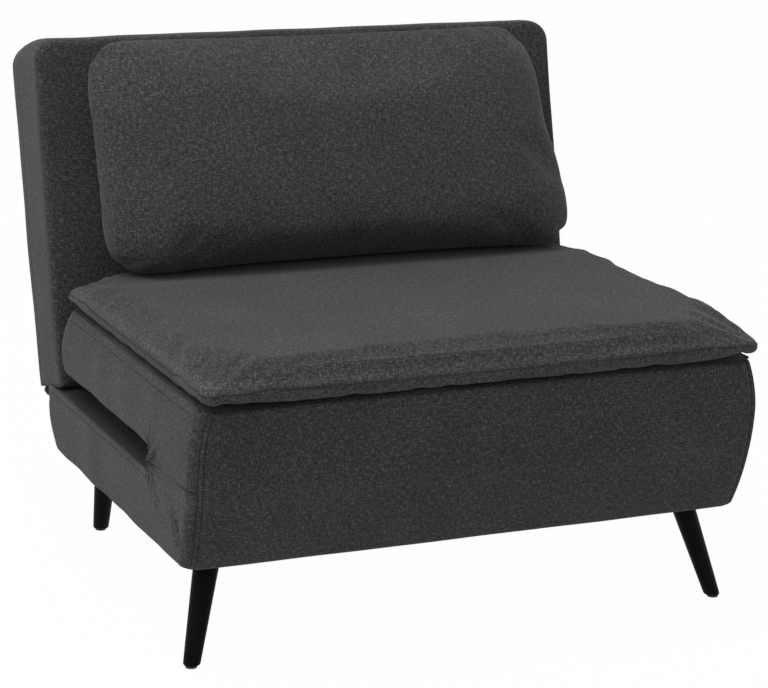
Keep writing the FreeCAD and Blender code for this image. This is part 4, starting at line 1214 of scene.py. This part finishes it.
@dataclass
class Topper:
    """Loose pad on the seat: a top and a bottom cloth that meet in a seam round the edge."""

    seam_z: float = 0.441
    cell: float = 0.011
    side_spare: float = 0.006
    front_spare: float = 0.003
    top_round: Point = (0.013, 0.14, 0.26)
    low_round: Point = (0.011, 0.10, 0.40)
    corner_drop: float = 0.010

    def build(self) -> Thing:
        """Make, swell and finish the pad."""
        low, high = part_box("seat_topper")
        low -= Vector((self.side_spare, self.front_spare, 0))
        high += Vector((self.side_spare, 0, 0))
        bm = block(low[:], high[:], self.cell, 0.020)
        middle = (low + high) / 2
        size = (high - low) / 2

        def settle(co: Vector) -> Vector:
            dx = size.x - abs(co.x - middle.x)
            dy = size.y - abs(co.y - middle.y)
            corner = bump_at(math.hypot(dx, dy), 0.070)
            above = co.z > self.seam_z
            reach = high.z - self.seam_z if above else self.seam_z - low.z
            round_in, edge_fall, corner_fall = self.top_round if above else self.low_round
            rise = (co.z - self.seam_z) / reach
            out = co.copy()
            out.x -= math.copysign(round_in * rise * rise * bump_at(dx, 0.03), co.x - middle.x)
            out.y -= math.copysign(round_in * rise * rise * bump_at(dy, 0.03), co.y - middle.y)
            fall = bump_at(min(dx, dy), 0.034)
            out.z = self.seam_z + reach * rise * (1 - edge_fall * fall) * (1 - corner_fall * corner)
            out.z -= self.corner_drop * corner
            return out

        shape(bm, settle)
        pad = piece(bm, "topper_pad", Use.PAD)
        seam = self.seam_z

        def held(co: Vector) -> float:
            edge = min(size.x - abs(co.x - middle.x), size.y - abs(co.y - middle.y))
            if co.z < low.z + 0.004 and edge > 0.03:
                return 1.0
            return 1.0 if abs(co.z - seam) < 0.005 and edge < 0.012 else 0.0

        swell(pad, 1.2, 0.009, held, 0.010)
        self.keep_inside(pad, low, high)
        refine(pad)
        mark_wear_and_shade(pad, lambda co: 0.8 * bump_at(co.z - seam - 0.006, 0.006) * (
            min(size.x - abs(co.x - middle.x), size.y - abs(co.y - middle.y)) < 0.02))
        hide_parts("seat_topper")
        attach(pad, "loose_pads")
        surface = tree_of(pad)
        front = [(x, low.y - 0.01, seam + 0.002) for x in spaced(-size.x, size.x, 80)]
        sides = [[(side * (size.x + 0.01), y, seam + 0.002) for y in spaced(low.y, high.y, 60)]
                 for side in (-1, 1)]
        for number, run in enumerate([front, *sides]):
            place = [p[0][:] for p in on_surface(surface, [Vector(p) for p in run], -0.0004)]
            roll = cord_edge(f"topper_seam_{number + 1}", Use.THREAD, place, 0.0008)
            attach(roll, "loose_pads")
        return pad

    def keep_inside(self, pad: Thing, low: Vector, high: Vector) -> None:
        """Keep the pad in its place: on the seat and clear of the backrest."""
        for vertex in pad.data.vertices:
            co = vertex.co
            co.z = max(low.z + 0.0002, min(high.z + 0.002, co.z))
            co.y = min(high.y + 0.003, co.y)
            edge = min(high.x - abs(co.x), high.y - co.y)
            pressed = smooth_step(co.y, 0.05, 0.09) * smooth_step(edge, 0.02, 0.05) * (co.z > 0.46)
            co.z += (high.z - 0.0004 - co.z) * pressed
            co.z += 0.004 * (1 - smooth_step(co.y, 0.02, 0.09)) * smooth_step(co.z, self.seam_z, high.z)


@dataclass
class BackCushion:
    """Loose pillow that leans on the backrest."""

    half_width: float = 0.415
    half_height: float = 0.190
    front_bulge: float = 0.078
    rear_bulge: float = 0.092
    lean: float = math.radians(21)
    centre: Point = (0.010, 0.2020, 0.6500)
    corner: float = 0.045
    cell: float = 0.0105
    floor: float = 0.4721
    floor_give: float = 0.008
    back_limit: float = -0.0056
    back_give: float = 0.012

    def build(self) -> Thing:
        """Make, swell and finish the pillow."""
        bm = cuboid((2 * self.half_width, 0.016, 2 * self.half_height), (0, 0, 0))
        for axis, reach in ((0, self.half_width), (2, self.half_height)):
            inner = spaced(-reach, reach, round(2 * reach / self.cell))[1:-1]
            for place in inner + [0.004 - reach, reach - 0.004]:
                slice_at(bm, axis, place)
        slice_at(bm, 1, 0.0)
        shape(bm, self.plump)
        place = Matrix.Translation(self.centre) @ Matrix.Rotation(-self.lean, 4, "X")
        bmesh.ops.transform(bm, matrix=place, verts=bm.verts)
        bmesh.ops.recalc_face_normals(bm, faces=bm.faces)
        shape(bm, self.rest)
        pillow = piece(bm, "back_pillow", Use.PAD)
        inverse = place.inverted()

        def held(co: Vector) -> float:
            local = inverse @ co
            edge = min(self.half_width - abs(local.x), self.half_height - abs(local.z))
            return 1.0 if abs(local.y) < 0.010 and edge < 0.02 else 0.0

        swell(pillow, 1.2, 0.010, held, 0.012)
        for vertex in pillow.data.vertices:
            vertex.co = self.rest(vertex.co)
        refine(pillow)
        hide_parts("back_cushion")
        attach(pillow, "loose_pads")
        return pillow

    def plump(self, co: Vector) -> Vector:
        """Turn the flat cloth pair into a stuffed form that is fuller below."""
        def share(distance: float, radius: float) -> float:
            return math.sqrt(max(0.0, 1 - (1 - min(1.0, distance / radius)) ** 2))

        dx = self.half_width - abs(co.x)
        dz = self.half_height - abs(co.z)
        in_x, in_z = self.corner - dx, self.corner - dz
        if in_x > 0 and in_z > 0:
            spare = 1 - max(in_x, in_z) / math.hypot(in_x, in_z)
            co = Vector((co.x - math.copysign(in_x * spare, co.x), co.y,
                         co.z - math.copysign(in_z * spare, co.z)))
        low = 0.5 - 0.5 * co.z / self.half_height
        full = share(dx, 0.100) * share(dz, 0.165 - 0.075 * low)
        across = math.cos(co.x / self.half_width * math.pi / 2)
        dome = 0.80 + 0.20 * across * math.cos(co.z / self.half_height * 1.3)
        bulge = (self.front_bulge * (0.80 + 0.35 * low)) if co.y < 0 else self.rear_bulge
        y = math.copysign(bulge * full * dome, co.y) if abs(co.y) > 1e-6 else 0.0
        pinch = 1 - bump_at(math.hypot(dx, dz), 0.050)
        x = co.x * (1 - 0.005 / self.half_width * (1 - (co.z / self.half_height) ** 2))
        z = co.z * (1 - 0.005 / self.half_height * (1 - (co.x / self.half_width) ** 2))
        sag = 0.034 * smooth_step(-co.z, 0.03, 0.16) * full
        if x > 0:
            x *= 1 - 0.078 * (1 - low)
        x += (0.014 if x > 0 else -0.002) * low
        return Vector((x * (0.968 + 0.032 * pinch), y * (0.55 + 0.45 * pinch) + co.y * 0.25,
                       z * (0.955 + 0.045 * pinch) - sag + 0.007 * (1 - low)))

    def rest(self, co: Vector) -> Vector:
        """Flatten the pillow where it stands on the topper and leans on the backrest."""
        out = co.copy()
        give = self.floor_give
        if out.z < self.floor + give:
            out.z = self.floor + give * math.exp(min(0.0, (out.z - self.floor - give) / give))
        lean = Backrest.lean
        depth = (out.y - Backrest.face_y) * math.cos(lean) - (out.z - Backrest.foot_z) * math.sin(lean)
        limit, give = self.back_limit, self.back_give
        if depth > limit - give:
            kept = limit - give * math.exp(min(0.0, -(depth - limit + give) / give))
            out += Vector((0, math.cos(lean), -math.sin(lean))) * (kept - depth)
        return out



@dataclass(frozen=True)
class Studio:
    """Camera at the photograph's angle, soft lamps and a pale floor."""

    eye: Point = (-1.6881, -3.8745, 1.4796)
    right: Point = (0.91480, -0.40390, 0.0)
    up: Point = (0.10327, 0.23391, 0.96675)
    roll: float = math.radians(1.324)
    lens: float = 125.57
    sensor: float = 36.0
    sky_light: float = 0.42
    floor_half: float = 12.0
    floor_white: float = 0.985

    def build(self) -> None:
        """Set up the camera, world, floor and lamps."""
        scene = bpy.context.scene
        scene.view_settings.view_transform = "Standard"
        camera = bpy.data.objects.new("camera", bpy.data.cameras.new("camera"))
        scene.collection.objects.link(camera)
        scene.camera = camera
        camera.data.lens = self.lens
        camera.data.sensor_width = self.sensor
        right, up = Vector(self.right), Vector(self.up)
        turned_right = right * math.cos(self.roll) + up * math.sin(self.roll)
        turned_up = up * math.cos(self.roll) - right * math.sin(self.roll)
        axes = Matrix((turned_right, turned_up, turned_right.cross(turned_up))).transposed().to_4x4()
        axes.translation = Vector(self.eye)
        camera.matrix_world = axes
        self.world(scene)
        self.floor(scene)
        self.lamp("key", place=(-1.5, -0.5, 3.5), aim=(0, -0.05, 0.4), size=2.2, power=66)

    def seen(self, graph: Graph) -> Socket:
        """1 for rays from the camera, a gloss or a clear surface, and 0 for the rest."""
        path = graph.add("LightPath").outputs
        first = graph.math("MAXIMUM", path["Is Camera Ray"], path["Is Glossy Ray"])
        return graph.math("MAXIMUM", first, path["Is Transmission Ray"])

    def world(self, scene: bpy.types.Scene) -> None:
        """White to the eye, softer as a light."""
        world = bpy.data.worlds.new("studio")
        scene.world = world
        world.use_nodes = True
        graph = Graph(world.node_tree)
        strength = graph.spread(self.seen(graph), 0.0, 1.0, low=self.sky_light)
        glow = graph.add("Background", {"Color": linear("#ffffff"), "Strength": strength})
        graph.add("OutputWorld", {"Surface": glow.outputs[0]})

    def floor(self, scene: bpy.types.Scene) -> None:
        """Pale floor that keeps the object's shadow."""
        bm = bmesh.new()
        bmesh.ops.create_grid(bm, x_segments=1, y_segments=1, size=self.floor_half)
        mesh = bpy.data.meshes.new("floor")
        bm.to_mesh(mesh)
        bm.free()
        made = bpy.data.objects.new("floor", mesh)
        scene.collection.objects.link(made)
        finish = bpy.data.materials.new("floor, pale paper")
        finish.use_nodes = True
        graph = Graph(finish.node_tree)
        paper = graph.add("BsdfDiffuse", {"Color": linear("#f4f4f4")})
        white = graph.add("Emission", {"Color": linear("#ffffff"), "Strength": 1.0})
        share = graph.math("MULTIPLY", self.seen(graph), self.floor_white)
        mixed = graph.add("MixShader", {0: share, 1: paper.outputs[0], 2: white.outputs[0]})
        graph.add("OutputMaterial", {"Surface": mixed.outputs[0]})
        mesh.materials.append(finish)

    def lamp(self, name: str, place: Point, aim: Point, size: float, power: float) -> None:
        """Add a soft square lamp.

        Args:
            name: Lamp name.
            place: Where it hangs.
            aim: Where it points.
            size: Side of the square.
            power: Power in watts.
        """
        data = bpy.data.lights.new(name, "AREA")
        data.shape = "SQUARE"
        data.size = size
        data.energy = power
        made = bpy.data.objects.new(name, data)
        made.location = place
        made.rotation_euler = (Vector(aim) - Vector(place)).to_track_quat("-Z", "Y").to_euler()
        bpy.context.scene.collection.objects.link(made)


def dress_frame() -> None:
    """Give every CAD node the finish of its slot in the record."""
    slots = {part["node"]: part["material_slot"] for part in frame["record"]["subparts"]}
    for name, made in frame["nodes"].items():
        finish = CAD_FINISHES[slots[name]].value.material()
        for holder in made.material_slots:
            holder.material = finish


def main() -> None:
    """Build the chair and its stage."""
    logging.basicConfig(level=logging.INFO, format="%(message)s")
    dress_frame()
    Studio().build()
    for unit in (BaseUnit(), SeatUnit(), FrontPanel(), Backrest(), Topper(), BackCushion()):
        unit.build()
        log.info("%s done", type(unit).__name__)
    bpy.context.view_layer.update()


if __name__ == "__main__":
    main()
